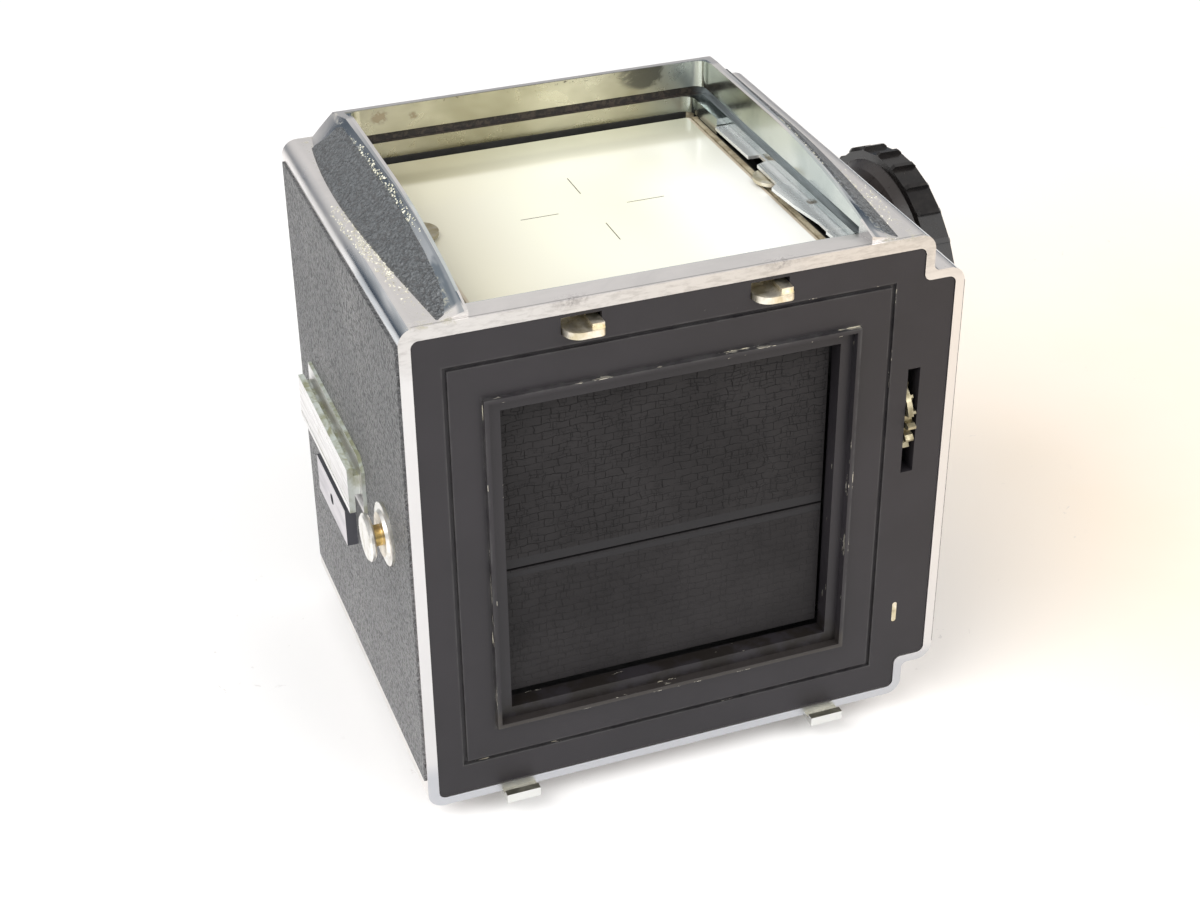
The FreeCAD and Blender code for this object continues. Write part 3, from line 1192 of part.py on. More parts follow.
def make_cocking_drive():
    """Cross shaft, mitre gears and the slotted shaft that cocks the lens."""
    apex = Vector(-s.cocking_x, -s.knob_y, s.foot_height + s.cocking_height)
    half_tooth = math.pi / 16
    cross = bevel_solid(16, s.bevel_radius, 1.6, 0.0, s.lay_radius, 2.0)
    solid_node("cross_bevel", cross, apex, TURNS["x"])
    front = bevel_solid(16, s.bevel_radius, 1.6, half_tooth, s.lay_radius, 2.0)
    solid_node("cocking_bevel", front, apex, TURNS["y"])
    node(rod("cross_shaft", "x", "lay_radius", "-(housing_half - wall_right - 0.2)",
             "-(cocking_x + bevel_radius - 1.5)", LAY), "cross_shaft")
    shaft = rod("cocking_main", "y", "cocking_radius", "-" + FRONT_BACK, "-(knob_y + bevel_radius + 2)",
                COCKING)
    nose = rod("cocking_nose", "y", "lay_radius", "-(knob_y + bevel_radius + 3)",
               "-(knob_y + bevel_radius - 1.5)", COCKING)
    head = rod("cocking_head", "y", "2.6", "-(front_face - 1)", "-" + FRONT_BACK + " - 0.05", COCKING)
    neck = rod("cocking_neck", "y", "cocking_radius", "-(front_face - 1.2)", "-" + FRONT_BACK + " + 1",
               COCKING)
    slot = block("cocking_slot", ("-cocking_x - 0.55", "-cocking_x + 0.55"), ("-40", "-(front_face - 2.1)"),
                 (COCKING[1] + " - 4", COCKING[1] + " + 4"))
    node(cut("cocking_shaft", join("cocking_solid", shaft, nose, head, neck), slot), "cocking_shaft")
    floor = "foot_height + box_floor + box_wall"
    top = COCKING[1] + " + 3"
    base = block("bracket_base", ("-(cocking_x + 9)", "-(cocking_x - 5)"), ("-13", "0"),
                 (floor, floor + " + 1.5"))
    side = block("bracket_side", ("-(cocking_x + 9)", "-(cocking_x + 7)"), ("-8", "0"), (floor, top))
    front = block("bracket_front", ("-(cocking_x + 4)", "-(cocking_x - 4)"), ("-13", "-11"), (floor, top))
    holes = [rod("bracket_cross_bore", "x", "lay_radius + running_gap", "-30", "-15", LAY),
             rod("bracket_cocking_bore", "y", "cocking_radius + running_gap", "-20", "-10", COCKING)]
    node(cut("bevel_bracket", join("bracket_solid", base, side, front), *holes), "bevel_bracket")


def make_prerelease_lever():
    """Small lever low on the gear housing."""
    face = "-(housing_half + leather_thick)"
    lever = body("lever_body")
    place(lever, face + " - 0.1", LEVER[0], LEVER[1])
    plan = outline(lever, "YZ_Plane", "-1.3", [
        ("2.6", "-2.2"), ("3.0", "1.6"), ("0.6", "3.2"), ("-2.6", "2.6"), ("-11.6", "0.6"), ("-12.8", "-1.0"),
        ("-12.4", "-2.8"), ("-10.8", "-3.4"), ("-2.0", "-2.6")])
    pad(lever, plan, "1.3")
    round_edges(lever, "0.9", lambda e: runs_along(e, X_AXIS))
    tab = block("lever_tab", (face + " - 3.6", face + " - 0.5"), (LEVER[0] + " - 12.2", LEVER[0] + " - 10.6"),
                (LEVER[1] + " - 3.0", LEVER[1] + " - 0.6"))
    pin = rod("lever_pin", "x", "1.2", face + " - 1", "-(housing_half - wall_right - 0.8)", LEVER)
    head = rod("lever_head", "x", "1.9", face + " - 1.9", face + " - 1", LEVER)
    node(join("prerelease_lever", lever, tab, pin, head), "prerelease_lever")


# Coverings and fittings

def make_leathers():
    front = body("front_leather_body")
    plane = "front_face - front_inset"
    drawing = outline(front, "XZ_Plane", plane, inside_corners("0.9"))
    pad(front, drawing, "leather_thick")
    round_corners(front, drawing, "inner_radius")
    rounds = circles(front, "XZ_Plane", plane + " + leather_thick", [
        ("0", AXIS, "flange_radius + 0.15"),
        ("-release_x", RELEASE_Z, "release_radius + 1.3"),
        ("release_x", RELEASE_Z, "release_radius - 0.2")])
    pocket(front, rounds, "leather_thick")
    node(front, "front_leather")

    left = block("left_sheet", ("half_width", SIDE), ("-(front_face - sheet_front)", "rear_plane - 0.3"),
                 ("foot_height + sheet_low", TOP + " - sheet_high"))
    stud = rod("left_sheet_hole", "x", "stud_shank", "30", "60", ("stud_y", STUD_Z))
    node(cut("side_leather_left", left, stud), "side_leather_left")

    right = block("right_sheet", ("-(housing_half + leather_thick)", "-housing_half"),
                  ("-(front_face - sheet_front)", "rear_plane - 0.3"),
                  (HOUSING_LOW + " + 2.8", HOUSING_TOP + " - 2.8"))
    holes = [rod("right_sheet_hole", "x", "stud_shank", "-60", "-30", ("stud_y", STUD_Z)),
             rod("right_sheet_bearing", "x", "9.15", "-60", "-30", ("-knob_y", KNOB_Z)),
             rod("right_sheet_lever", "x", "1.2 + running_gap", "-60", "-30", LEVER)]
    node(cut("side_leather_right", right, *holes), "side_leather_right")


def make_rail_leathers():
    """Leather on the rails' outer slopes: it narrows towards the magazine side."""
    zone = body("rail_leather_zone")
    corners = [("-(bay_front - 0.1)", TOP), ("-(bay_front - 0.6)", TOP + " + 0.7"),
               ("-(bay_front - 2.7)", TOP + " + 2.6"), ("-(bay_front - 3.9)", TOP + " + 4.6"),
               ("-(bay_front - 5.0)", TOP + " + crest_rise - leather_band")]
    for k in range(6):
        y = "(crest_bend + %d / 5 * (rear_plane - 1.5 - crest_bend))" % k
        corners.append((y, TOP + " - leather_band + " + crest_height(y)))
    corners.append(("rear_plane - 0.9", TOP))
    plan = outline(zone, "YZ_Plane", "-60", corners)
    pad(zone, plan, "120")
    skin = cut("rail_skin", common("rail_skin_outer", make_hump("leather_hump", "leather_thick * 0.9"), zone),
               make_hump("leather_core", "0"))
    for side, x in (("left", ("0", "60")), ("right", ("-60", "0"))):
        half = block("rail_half_" + side, x, ("-60", "60"), (TOP, TOP + " + 20"))
        node(common("rail_leather_" + side, skin, half), "rail_leather_" + side)


def make_accessory_rail():
    """Shoe on the left side: a flange, a narrower neck and an overhanging bar."""
    low = "foot_height + rail_low"
    flange = body("rail_flange")
    plan = outline(flange, "YZ_Plane", SIDE, [
        ("-rail_front", low + " + 0.5"), ("rail_rear + 1.8", low + " + 0.5"),
        ("rail_rear + 1.8", low + " + 8.2"), ("rail_rear - 0.4", low + " + 10.2"),
        ("-rail_front", low + " + 10.2")])
    pad(flange, plan, "0.6")
    neck = block("rail_neck", (SIDE, SIDE + " + 1.5"), ("-rail_front", "rail_rear"),
                 (low + " + 3.3", low + " + 6.8"))
    bar = block("rail_bar", (SIDE + " + 1.5", SIDE + " + 2.5"), ("-rail_front", "rail_rear"),
                (low, low + " + rail_tall"))
    line = block("rail_line", (SIDE + " + 2.35", SIDE + " + 3"), ("-rail_front - 1", "rail_rear + 1"),
                 (low + " + 1.1", low + " + 1.3"))
    node(join("accessory_rail", flange, neck, cut("rail_bar_cut", bar, line)), "accessory_rail")
    stop_low, stop_high = "foot_height + stop_low", "foot_height + stop_low + stop_tall"
    stop = block("stop_solid", (SIDE, SIDE + " + stop_thick"), ("-stop_front", "stop_rear"),
                 (stop_low, stop_high))
    hole = rod("stop_hole", "x", "1.0", "half_width - 1", SIDE + " + stop_thick + 1",
               ("(stop_rear - stop_front) / 2", stop_low + " + stop_tall / 2"))
    node(cut("rail_stop_plate", stop, hole), "rail_stop_plate")


def make_strap_studs():
    """Studs turned about X: a stepped flange on the leather, a shank and a round head."""
    for side, sign, face in (("left", "1", SIDE), ("right", "-1", "(housing_half + leather_thick)")):
        stud = body("strap_stud_" + side)
        place(stud, "%s * %s" % (sign, face), "stud_y", STUD_Z)
        turned = outline(stud, "XY_Plane", "0", [(sign + " * (%s)" % x, r) for x, r in (
            ("-3.2", "0"), ("-3.2", "stud_shank"), ("0", "stud_shank"), ("0", "stud_flange"),
            ("0.45", "stud_flange"), ("0.45", "stud_flange - 1.1"), ("0.95", "stud_flange - 1.5"),
            ("0.95", "stud_shank"), ("2.4", "stud_shank"), ("2.4", "stud_head - 0.35"), ("2.7", "stud_head"),
            ("3.1", "stud_head"), ("3.4", "stud_head - 0.35"), ("3.4", "0"))])
        revolve(stud, turned, "H_Axis")
        node(stud, "strap_stud_" + side)


def make_foot():
    """Foot plate with the two tripod sockets as bosses through the shell's bottom."""
    plate = body("foot_body")
    pad(plate, outline(plate, "XY_Plane", "0", rectangle(
        ("-foot_half_x", "foot_half_x"), ("-foot_front", "foot_rear"))), "foot_height")
    round_edges(plate, "4", lambda e: runs_along(e, Z_AXIS))
    boss = rod("socket_boss", "z", "socket_radius + 2.2", "1", "foot_height + 3", ("0", "0"))
    small = rod("small_socket_boss", "z", "small_socket_radius + 1.8", "1", "foot_height + 3",
                ("0", "small_socket_y"))
    holes = [rod("socket_bore", "z", "socket_radius", "-1", "6", ("0", "0")),
             rod("small_socket_bore", "z", "small_socket_radius", "-1", "6", ("0", "small_socket_y"))]
    for name, y in (("front", "-foot_front + 5"), ("rear", "foot_rear - 5")):
        at = ("0", y)
        holes.append(rod("foot_bore_" + name, "z", "1.0", "-1", "foot_height + 1", at))
        holes.append(rod("foot_seat_" + name, "z", "2.0", "-1", "1.4", at))
        screw = join("foot_screw_solid_" + name,
                     rod("foot_shank_" + name, "z", "1.0", "0.3", "foot_height", at),
                     rod("foot_head_" + name, "z", "2.0", "0.3", "1.4", at))
        slot = block("foot_slot_" + name, ("-3", "3"), (y + " - 0.25", y + " + 0.25"), ("0", "0.8"))
        node(cut("foot_screw_" + name, screw, slot), "foot_screw_" + name)
    node(cut("foot_plate", join("foot_solid", plate, boss, small), *holes), "foot_plate")


make_body_shell()
make_rear_plate()
make_flaps()
make_magazine_hooks()
make_support_lugs()
make_signal_pin()
make_mirror_box()
make_mirror()
make_screen()
make_screen_clips()
make_finder_spring()
make_front_plate()
make_lens_flange()
make_flange_screws()
make_throat_baffle()
make_lens_release()
make_shutter_release()
make_knob()
make_winding_shaft()
make_gear_plate(make_gears())
make_cocking_drive()
make_prerelease_lever()
make_leathers()
make_rail_leathers()
make_accessory_rail()
make_strap_studs()
make_foot()
doc.recompute()

for thing in doc.Objects:
    if "Invalid" in thing.State or "Error" in thing.State:
        raise RuntimeError("%s: %s" % (thing.Name, thing.State))
for thing in NODES:
    if thing.Shape.isNull() or not thing.Shape.isValid() or not thing.Shape.Solids:
        raise RuntimeError(thing.Label + " has no sound solid")
labels = [thing.Label for thing in NODES]
if len(labels) != len(set(labels)):
    raise RuntimeError("a name is used twice")
for thing in NODES:
    thing.Shape.exportStep("parts/%s.step" % thing.Label)
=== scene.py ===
import json
import math
import random

import bmesh
import bpy
from mathutils import Matrix, Vector


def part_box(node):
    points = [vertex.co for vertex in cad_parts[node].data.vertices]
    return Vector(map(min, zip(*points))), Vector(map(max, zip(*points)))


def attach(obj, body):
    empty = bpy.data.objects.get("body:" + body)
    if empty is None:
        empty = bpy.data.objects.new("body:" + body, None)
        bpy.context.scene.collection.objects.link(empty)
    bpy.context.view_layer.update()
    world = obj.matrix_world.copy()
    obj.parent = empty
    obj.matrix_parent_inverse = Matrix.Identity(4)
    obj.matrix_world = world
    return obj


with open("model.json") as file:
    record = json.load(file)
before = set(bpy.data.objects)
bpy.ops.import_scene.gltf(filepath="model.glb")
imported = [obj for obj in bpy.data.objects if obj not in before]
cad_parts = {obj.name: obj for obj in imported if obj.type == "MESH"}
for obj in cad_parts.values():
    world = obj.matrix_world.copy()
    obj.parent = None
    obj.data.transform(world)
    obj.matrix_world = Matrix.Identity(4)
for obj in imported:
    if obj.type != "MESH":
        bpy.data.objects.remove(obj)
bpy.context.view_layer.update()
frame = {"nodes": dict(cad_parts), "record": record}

# Medium format reflex camera body on a white table, seen from its rear left and above.
# Metres. The camera stands on z = 0, the lens side is -Y and the magazine side +Y.

SCREEN_LOW, SCREEN_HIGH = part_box("focusing_screen")
FLANGE_LOW, FLANGE_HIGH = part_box("lens_flange")
HOOK_LOW, HOOK_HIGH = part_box("hook_left")
KNOB_LOW, KNOB_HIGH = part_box("winding_knob")
AXIS_Z = (FLANGE_LOW[2] + FLANGE_HIGH[2]) / 2
HOOK_X = (HOOK_LOW[0] + HOOK_HIGH[0]) / 2
TOP_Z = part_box("rail_leather_left")[0][2]
FLAP_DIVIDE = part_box("lower_flap")[1][2]
STUD_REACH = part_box("strap_stud_left")[1][0]

# Magazine plate: the face under its lip, then half sizes round the optical axis
LIP_HEIGHT = 0.0008
PLATE_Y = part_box("rear_plate")[1][1] - LIP_HEIGHT
LIP_HALF = 0.0301
LIP_INNER = 0.0294
TRAP_HALF_X = 0.03585
TRAP_HALF_Z = 0.0363
TRAP_WIDTH = 0.00068
GATE_HALF = 0.0273

# Finder bay: its walls, the strip behind it, the rails' crest and the groove for the finder
BAY_HALF = 0.0314
BAY_FRONT = -0.0195
STRIP_WIDTH = 0.0048
STRIP_Y = PLATE_Y - STRIP_WIDTH
CREST_RISE = 0.0059
CREST_Z = TOP_Z + CREST_RISE
GROOVE_LOW = 0.09013
GROOVE_HIGH = 0.09178

# Winding knob: how many ridges its rim has, and how many degrees round the first one is
KNOB_RIDGES = 26
FIRST_RIDGE = 94.5
KNOB_PHASE = 0.5 - FIRST_RIDGE / 360 * KNOB_RIDGES


# Node graph helpers

class Graph:
    """A material with its shader and short ways to add and join nodes."""

    def __init__(self, name, **shader):
        self.material = bpy.data.materials.new(name)
        self.material.use_nodes = True
        self.tree = self.material.node_tree
        self.shader = self.tree.nodes["Principled BSDF"]
        for socket, value in shader.items():
            self.shader.inputs[socket.replace("_", " ")].default_value = value
        self.place = self.add("ShaderNodeTexCoord").outputs["Object"]
        self.x, self.y, self.z = self.parts(self.place)

    def add(self, kind, **inputs):
        """A new node; an underscore in an input's name stands for a space."""
        node = self.tree.nodes.new(kind)
        for name, value in inputs.items():
            self.put(node.inputs[name.replace("_", " ")], value)
        return node

    def put(self, socket, value):
        """Links a socket to the input, or sets its plain value."""
        if isinstance(value, bpy.types.NodeSocket):
            self.tree.links.new(value, socket)
        else:
            socket.default_value = value

    def parts(self, vector):
        """The x, y and z of a vector."""
        return self.add("ShaderNodeSeparateXYZ", Vector=vector).outputs

    def facing(self):
        """The x, y and z of the surface's normal."""
        return self.parts(self.add("ShaderNodeNewGeometry").outputs["Normal"])

    def maths(self, operation, first, second=0.0, third=0.0):
        node = self.add("ShaderNodeMath")
        node.operation = operation
        for socket, value in zip(node.inputs, (first, second, third)):
            self.put(socket, value)
        return node.outputs[0]

    def plus(self, first, second):
        return self.maths("ADD", first, second)

    def minus(self, first, second):
        return self.maths("SUBTRACT", first, second)

    def size(self, value):
        """The value without its sign."""
        return self.maths("ABSOLUTE", value)

    def outside(self, mask):
        """1 where the mask is 0."""
        return self.minus(1.0, mask)

    def both(self, first, *others):
        """The product: 1 only where every mask is 1."""
        for other in others:
            first = self.maths("MULTIPLY", first, other)
        return first

    def most(self, first, *others):
        """The greatest of several values."""
        for other in others:
            first = self.maths("MAXIMUM", first, other)
        return first

    def span(self, value, low, high, start=0.0, end=1.0):
        """Maps low..high smoothly to start..end, clamped."""
        node = self.add("ShaderNodeMapRange", Value=value)
        node.interpolation_type = "SMOOTHSTEP"
        for socket, number in zip(("From Min", "From Max", "To Min", "To Max"), (low, high, start, end)):
            node.inputs[socket].default_value = number
        return node.outputs["Result"]

    def fall(self, value, low, high):
        """1 up to low, then smoothly down to 0 at high."""
        return self.span(value, low, high, 1.0, 0.0)

    def near(self, value, centre, width):
        """1 at the centre, falling to 0 at the width on either side."""
        return self.fall(self.size(self.minus(value, centre)), 0.0, width)

    def within(self, value, low, high, soft):
        """1 between low and high, fading to 0 over the soft distance outside them."""
        return self.both(self.span(value, low - soft, low), self.fall(value, high, high + soft))

    def noise(self, scale, detail=3.0, roughness=0.55, distortion=0.0, vector=None):
        node = self.add("ShaderNodeTexNoise", Vector=vector or self.place, Scale=scale, Detail=detail,
                        Roughness=roughness, Distortion=distortion)
        return node.outputs["Fac"]

    def cells(self, scale, vector):
        """Distance to the middle of the nearest of many rounded cells."""
        node = self.add("ShaderNodeTexVoronoi", Vector=vector, Scale=scale)
        node.feature = "SMOOTH_F1"
        return node.outputs["Distance"]

    def stretch(self, x, y, z):
        """Coordinates scaled along each axis."""
        node = self.add("ShaderNodeVectorMath")
        node.operation = "MULTIPLY"
        self.put(node.inputs[0], self.place)
        node.inputs[1].default_value = (x, y, z)
        return node.outputs[0]

    def wander(self, reach, scale, detail=2.0, axes=(1.0, 1.0, 1.0)):
        """The place pushed about by noise, for lines and cells that aren't regular."""
        push = self.add("ShaderNodeTexNoise", Vector=self.place, Scale=scale, Detail=detail).outputs["Color"]
        node = self.add("ShaderNodeVectorMath")
        node.operation = "MULTIPLY_ADD"
        self.put(node.inputs[0], push)
        node.inputs[1].default_value = [reach * axis for axis in axes]
        self.put(node.inputs[2], self.place)
        return node.outputs[0]

    def mix(self, factor, first, second):
        """A colour between two colours."""
        node = self.add("ShaderNodeMix")
        node.data_type = "RGBA"
        self.put(node.inputs["Factor"], factor)
        for socket, value in zip((node.inputs[6], node.inputs[7]), (first, second)):
            self.put(socket, value if isinstance(value, bpy.types.NodeSocket) else (*value, 1.0))
        return node.outputs[2]

    def layers(self, tone, *coats):
        """A tone with other colours laid over it in turn, each where its mask is."""
        for mask, colour in coats:
            tone = self.mix(mask, tone, colour)
        return tone

    def blend(self, factor, first, second):
        """A number between two numbers."""
        node = self.add("ShaderNodeMix", Factor=factor)
        self.put(node.inputs[2], first)
        self.put(node.inputs[3], second)
        return node.outputs[0]

    def bump(self, height, distance, strength):
        node = self.add("ShaderNodeBump", Height=height, Distance=distance, Strength=strength)
        return node.outputs["Normal"]

    def finish(self, color=None, roughness=None, normal=None, metallic=None):
        for name, value in (("Base Color", color), ("Roughness", roughness), ("Normal", normal),
                            ("Metallic", metallic)):
            if value is not None:
                self.put(self.shader.inputs[name], value)
        return self.material


# Material of the shell

def crest_line(g):
    """Height of the rails' crest over a place: level, then falling on an arc."""
    bend, arc = 0.008, 0.145
    past = g.most(g.minus(g.y, bend), 0.0)
    fallen = g.maths("SQRT", g.minus(arc ** 2, g.both(past, past)))
    return g.plus(fallen, CREST_Z - arc)


def bay_masks(g, across):
    """Where the finder bay's walls, its front wall and the dark groove round it are."""
    bay = g.both(g.fall(across, BAY_HALF + 0.0004, BAY_HALF + 0.0006), g.fall(g.y, STRIP_Y, STRIP_Y + 0.0003),
                 g.span(g.y, BAY_FRONT - 0.0005, BAY_FRONT - 0.0003),
                 g.within(g.z, SCREEN_HIGH[2], CREST_Z - 0.0003, 0.0002))
    front_wall = g.both(bay, g.fall(g.y, BAY_FRONT + 0.0003, BAY_FRONT + 0.0006))
    beyond = g.most(g.span(across, BAY_HALF + 0.00005, BAY_HALF + 0.00015),
                    g.fall(g.y, BAY_FRONT - 0.00015, BAY_FRONT - 0.00005))
    groove = g.both(beyond, g.within(g.z, GROOVE_LOW, GROOVE_HIGH, 0.00006),
                    g.fall(across, BAY_HALF + 0.0014, BAY_HALF + 0.0016),
                    g.within(g.y, BAY_FRONT - 0.0013, STRIP_Y - 0.0003, 0.0001))
    return bay, front_wall, groove


def bevel_reflections(g, across, sideways, flow):
    """Where the rails' bevels are, and their streaky painted reflections: pale outside, darker blue-grey on
    the inner slopes towards the rear.
    """
    outer = g.span(across, 0.0375, 0.0385)
    slanted = g.both(g.within(sideways, 0.35, 0.97, 0.06), g.span(g.z, 0.06, 0.07),
                     g.span(g.y, BAY_FRONT - 0.001, BAY_FRONT + 0.006),
                     g.blend(outer, 1.0, g.span(g.y, 0.008, 0.030, 0.15, 0.9)))
    # Both tones are painted reflections of the room in the bevels' chrome.
    pale = g.mix(g.span(flow, 0.40, 0.62), (0.74, 0.76, 0.78), (0.36, 0.40, 0.44))
    dark = g.mix(g.span(flow, 0.42, 0.54), (0.50, 0.53, 0.56), (0.20, 0.235, 0.27))
    inner = g.both(g.outside(outer), g.span(g.y, -0.008, 0.006))
    return slanted, g.mix(inner, pale, dark)


def shaded_rims(g, tone, across, crest, rearward):
    """Greys the seam behind the top strip, lays a blue-grey painted reflection on the rails' crest, and
    darkens the rim round the magazine plate with painted shade: more at its top, where it is also scratched,
    and bluer at its foot.
    """
    seam = g.both(g.near(g.y, PLATE_Y - 0.0002, 0.00022), g.span(g.z, TOP_Z - 0.0001, TOP_Z), 0.6)
    # The crest's blue-grey is a painted reflection.
    crest_reflection = g.both(g.fall(g.minus(crest, g.z), 0.0002, 0.0004),
                      g.within(across, BAY_HALF + 0.0006, BAY_HALF + 0.0030, 0.0001),
                      g.span(g.y, BAY_FRONT, 0.0))
    # The rim's darker tones are painted shade; the scratches at its top are real wear.
    rim = g.both(g.span(rearward, 0.8, 0.9), g.span(g.y, PLATE_Y - 0.0006, PLATE_Y - 0.0003))
    rim_top_shade = g.both(rim, g.span(g.z, TOP_Z - 0.010, TOP_Z - 0.003))
    rim_foot_shade = g.both(rim, g.span(g.z, 0.014, 0.010), 0.9)
    scratch = g.noise(1500.0, 4.0, 0.72, 0.2, g.stretch(0.25, 1.0, 1.0))
    scratched = g.mix(g.span(scratch, 0.42, 0.66), (0.60, 0.585, 0.57), (0.49, 0.475, 0.46))
    return g.layers(tone,
                    (seam, (0.20, 0.19, 0.18)),
                    (g.both(crest_reflection, 0.8), (0.38, 0.41, 0.44)),
                    (g.both(rim, 0.9), (0.66, 0.65, 0.65)),
                    (rim_foot_shade, (0.50, 0.51, 0.54)),
                    (rim_top_shade, scratched))


def front_wall_tone(g, cloud, blotch):
    """Tones of the bay's front wall, all painted reflection: olive from the cream screen, bluer at its right,
    paler at its left, with a dark patch.
    """
    smoky_x = g.maths("MULTIPLY_ADD", blotch, 0.009, g.x)
    smoky_z = g.maths("MULTIPLY_ADD", blotch, 0.004, g.z)
    patch = g.both(g.near(smoky_x, -0.0155, 0.0055), g.near(smoky_z, TOP_Z + 0.0064, 0.0042))
    dark_patch_reflection = g.both(g.span(patch, 0.10, 0.5), g.span(blotch, 0.30, 0.52), 0.85)
    # Painted reflection: olive of the screen, with a bluer and a paler side and a dark reflected patch.
    olive = g.mix(g.span(cloud, 0.34, 0.66), (0.56, 0.53, 0.39), (0.34, 0.31, 0.20))
    return g.layers(olive,
                    (g.both(g.span(g.x, -0.018, -0.029), 0.8), (0.58, 0.62, 0.61)),
                    (g.both(g.span(g.x, 0.012, 0.029), 0.5), (0.68, 0.65, 0.52)),
                    (dark_patch_reflection, (0.085, 0.080, 0.062)))


def front_wall_marks(g, front_wall):
    """Two brown smudges on the front wall, and dark specks under its upper edge."""
    smudge = g.most(g.both(g.near(g.x, 0.0262, 0.0024), g.near(g.z, TOP_Z + 0.0036, 0.0020)),
                    g.both(g.near(g.x, 0.0205, 0.0015), g.near(g.z, TOP_Z + 0.0030, 0.0012), 0.8))
    broken = g.span(g.noise(620.0, 5.0, 0.7), 0.33, 0.60)
    smudge = g.both(front_wall, g.span(g.both(smudge, broken), 0.1, 0.6))
    speck = g.both(front_wall, g.near(g.z, CREST_Z - 0.0009, 0.0007),
                   g.span(g.noise(1500.0, 4.0, 0.72), 0.60, 0.66), g.span(g.noise(150.0, 3.0), 0.42, 0.56))
    return smudge, speck


def rail_grime(g, across, crest, ragged):
    """Dirt along the rails' seams and above the hooks."""
    on_slope = g.span(across, BAY_HALF + 0.0015, BAY_HALF + 0.0019)
    seam_high = g.both(g.near(g.z, g.minus(crest, 0.0009), 0.0006), on_slope)
    seam_low = g.both(g.within(g.z, TOP_Z - 0.0001, TOP_Z + 0.0002, 0.0002),
                      g.within(across, BAY_HALF + 0.0031, 0.0385, 0.0010), g.span(ragged, 0.5, 0.66))
    seams = g.both(g.most(seam_high, seam_low), g.span(ragged, 0.47, 0.62))
    above_hooks = g.both(g.near(across, HOOK_X + 0.0015, 0.0045), g.span(g.y, PLATE_Y - 0.0024, PLATE_Y),
                         g.span(g.z, TOP_Z - 0.0018, TOP_Z - 0.0004), g.span(ragged, 0.36, 0.7))
    return seams, above_hooks


def groove_dirt_and_shade(g, ragged, flow):
    """Brown dirt and painted shade in the groove, which turns to streaky grey-blue painted shade on the metal
    at its right end.
    """
    # The groove's dark tones are painted shade, browned by dirt.
    dirt = g.mix(g.span(ragged, 0.45, 0.6), (0.030, 0.024, 0.020), (0.085, 0.066, 0.048))
    metal = g.mix(g.span(flow, 0.38, 0.6), (0.34, 0.38, 0.39), (0.10, 0.115, 0.12))
    return g.mix(g.span(g.x, -BAY_HALF + 0.0015, -BAY_HALF - 0.0002), dirt, metal)


def shell_chrome():
    """Chrome of the shell: satin on its level faces, mirror bright on its bevels, with painted reflections on
    the bevels and the bay's walls, painted shade on the rims and in the groove, and stains in the bay.
    """
    g = Graph("shell_chrome", Metallic=1.0)
    across = g.size(g.x)
    crest = crest_line(g)
    sideways, rearward, _ = g.facing()
    smear = g.noise(60.0, 5.0, 0.62, 0.7)
    ragged = g.noise(900.0, 5.0, 0.72, 0.5)
    flow = g.noise(190.0, 4.0, 0.6, 0.4, g.stretch(1.0, 0.12, 1.0))

    tone = g.mix(g.span(smear, 0.32, 0.7), (0.88, 0.845, 0.825), (0.77, 0.745, 0.73))
    rough = g.span(smear, 0.3, 0.75, 0.30, 0.42)
    # The bevels take their painted reflections here.
    slanted, steel = bevel_reflections(g, across, g.size(sideways), flow)
    tone = g.mix(slanted, tone, steel)
    rough = g.blend(slanted, rough, g.span(smear, 0.3, 0.75, 0.09, 0.16))
    tone = shaded_rims(g, tone, across, crest, rearward)

    in_bay, front_wall, groove = bay_masks(g, across)
    cloud = g.noise(55.0, 4.0, 0.6, 0.5, g.stretch(0.6, 1.0, 1.0))
    blotch = g.noise(170.0, 6.0, 0.66, 0.9)
    # The bay's walls take a pale blue-green painted reflection; the front wall's tones are painted
    # reflections too.
    side_wall_reflection = g.mix(g.span(cloud, 0.36, 0.68), (0.72, 0.765, 0.75), (0.50, 0.56, 0.56))
    tone = g.mix(g.both(in_bay, 0.9), tone, side_wall_reflection)
    tone = g.mix(g.both(front_wall, 0.95), tone, front_wall_tone(g, cloud, blotch))
    rough = g.blend(in_bay, rough, g.span(blotch, 0.35, 0.7, 0.12, 0.24))
    rough = g.blend(front_wall, rough, g.span(blotch, 0.35, 0.7, 0.26, 0.40))

    smudge, speck = front_wall_marks(g, front_wall)
    seams, above_hooks = rail_grime(g, across, crest, ragged)
    pits = g.both(g.span(g.noise(1300.0, 3.0, 0.7), 0.70, 0.76), g.span(g.noise(120.0, 3.0), 0.50, 0.68),
                  g.outside(in_bay))
    tone = g.layers(tone,
                    (g.both(seams, 0.7), (0.42, 0.40, 0.30)),
                    (g.both(above_hooks, 0.8), (0.16, 0.14, 0.14)),
                    (g.both(pits, 0.7), (0.20, 0.17, 0.13)),
                    (g.both(smudge, 0.75), (0.26, 0.19, 0.10)),
                    (speck, (0.10, 0.08, 0.06)),
                    (g.both(groove, 0.97), groove_dirt_and_shade(g, ragged, flow)))
    dull = g.most(smudge, speck, groove, pits, g.both(seams, 0.8), g.both(above_hooks, 0.8))
    rough = g.blend(dull, rough, 0.62)
    hairs = g.noise(900.0, 3.0, 0.6, 0.0, g.stretch(0.06, 1.0, 1.0))
    relief = g.minus(g.both(hairs, 0.25), g.both(dull, 1.5))
    return g.finish(tone, rough, g.bump(relief, 0.00002, 0.35), g.blend(dull, 1.0, 0.3))


# Materials of the coverings, the magazine plate and the flaps

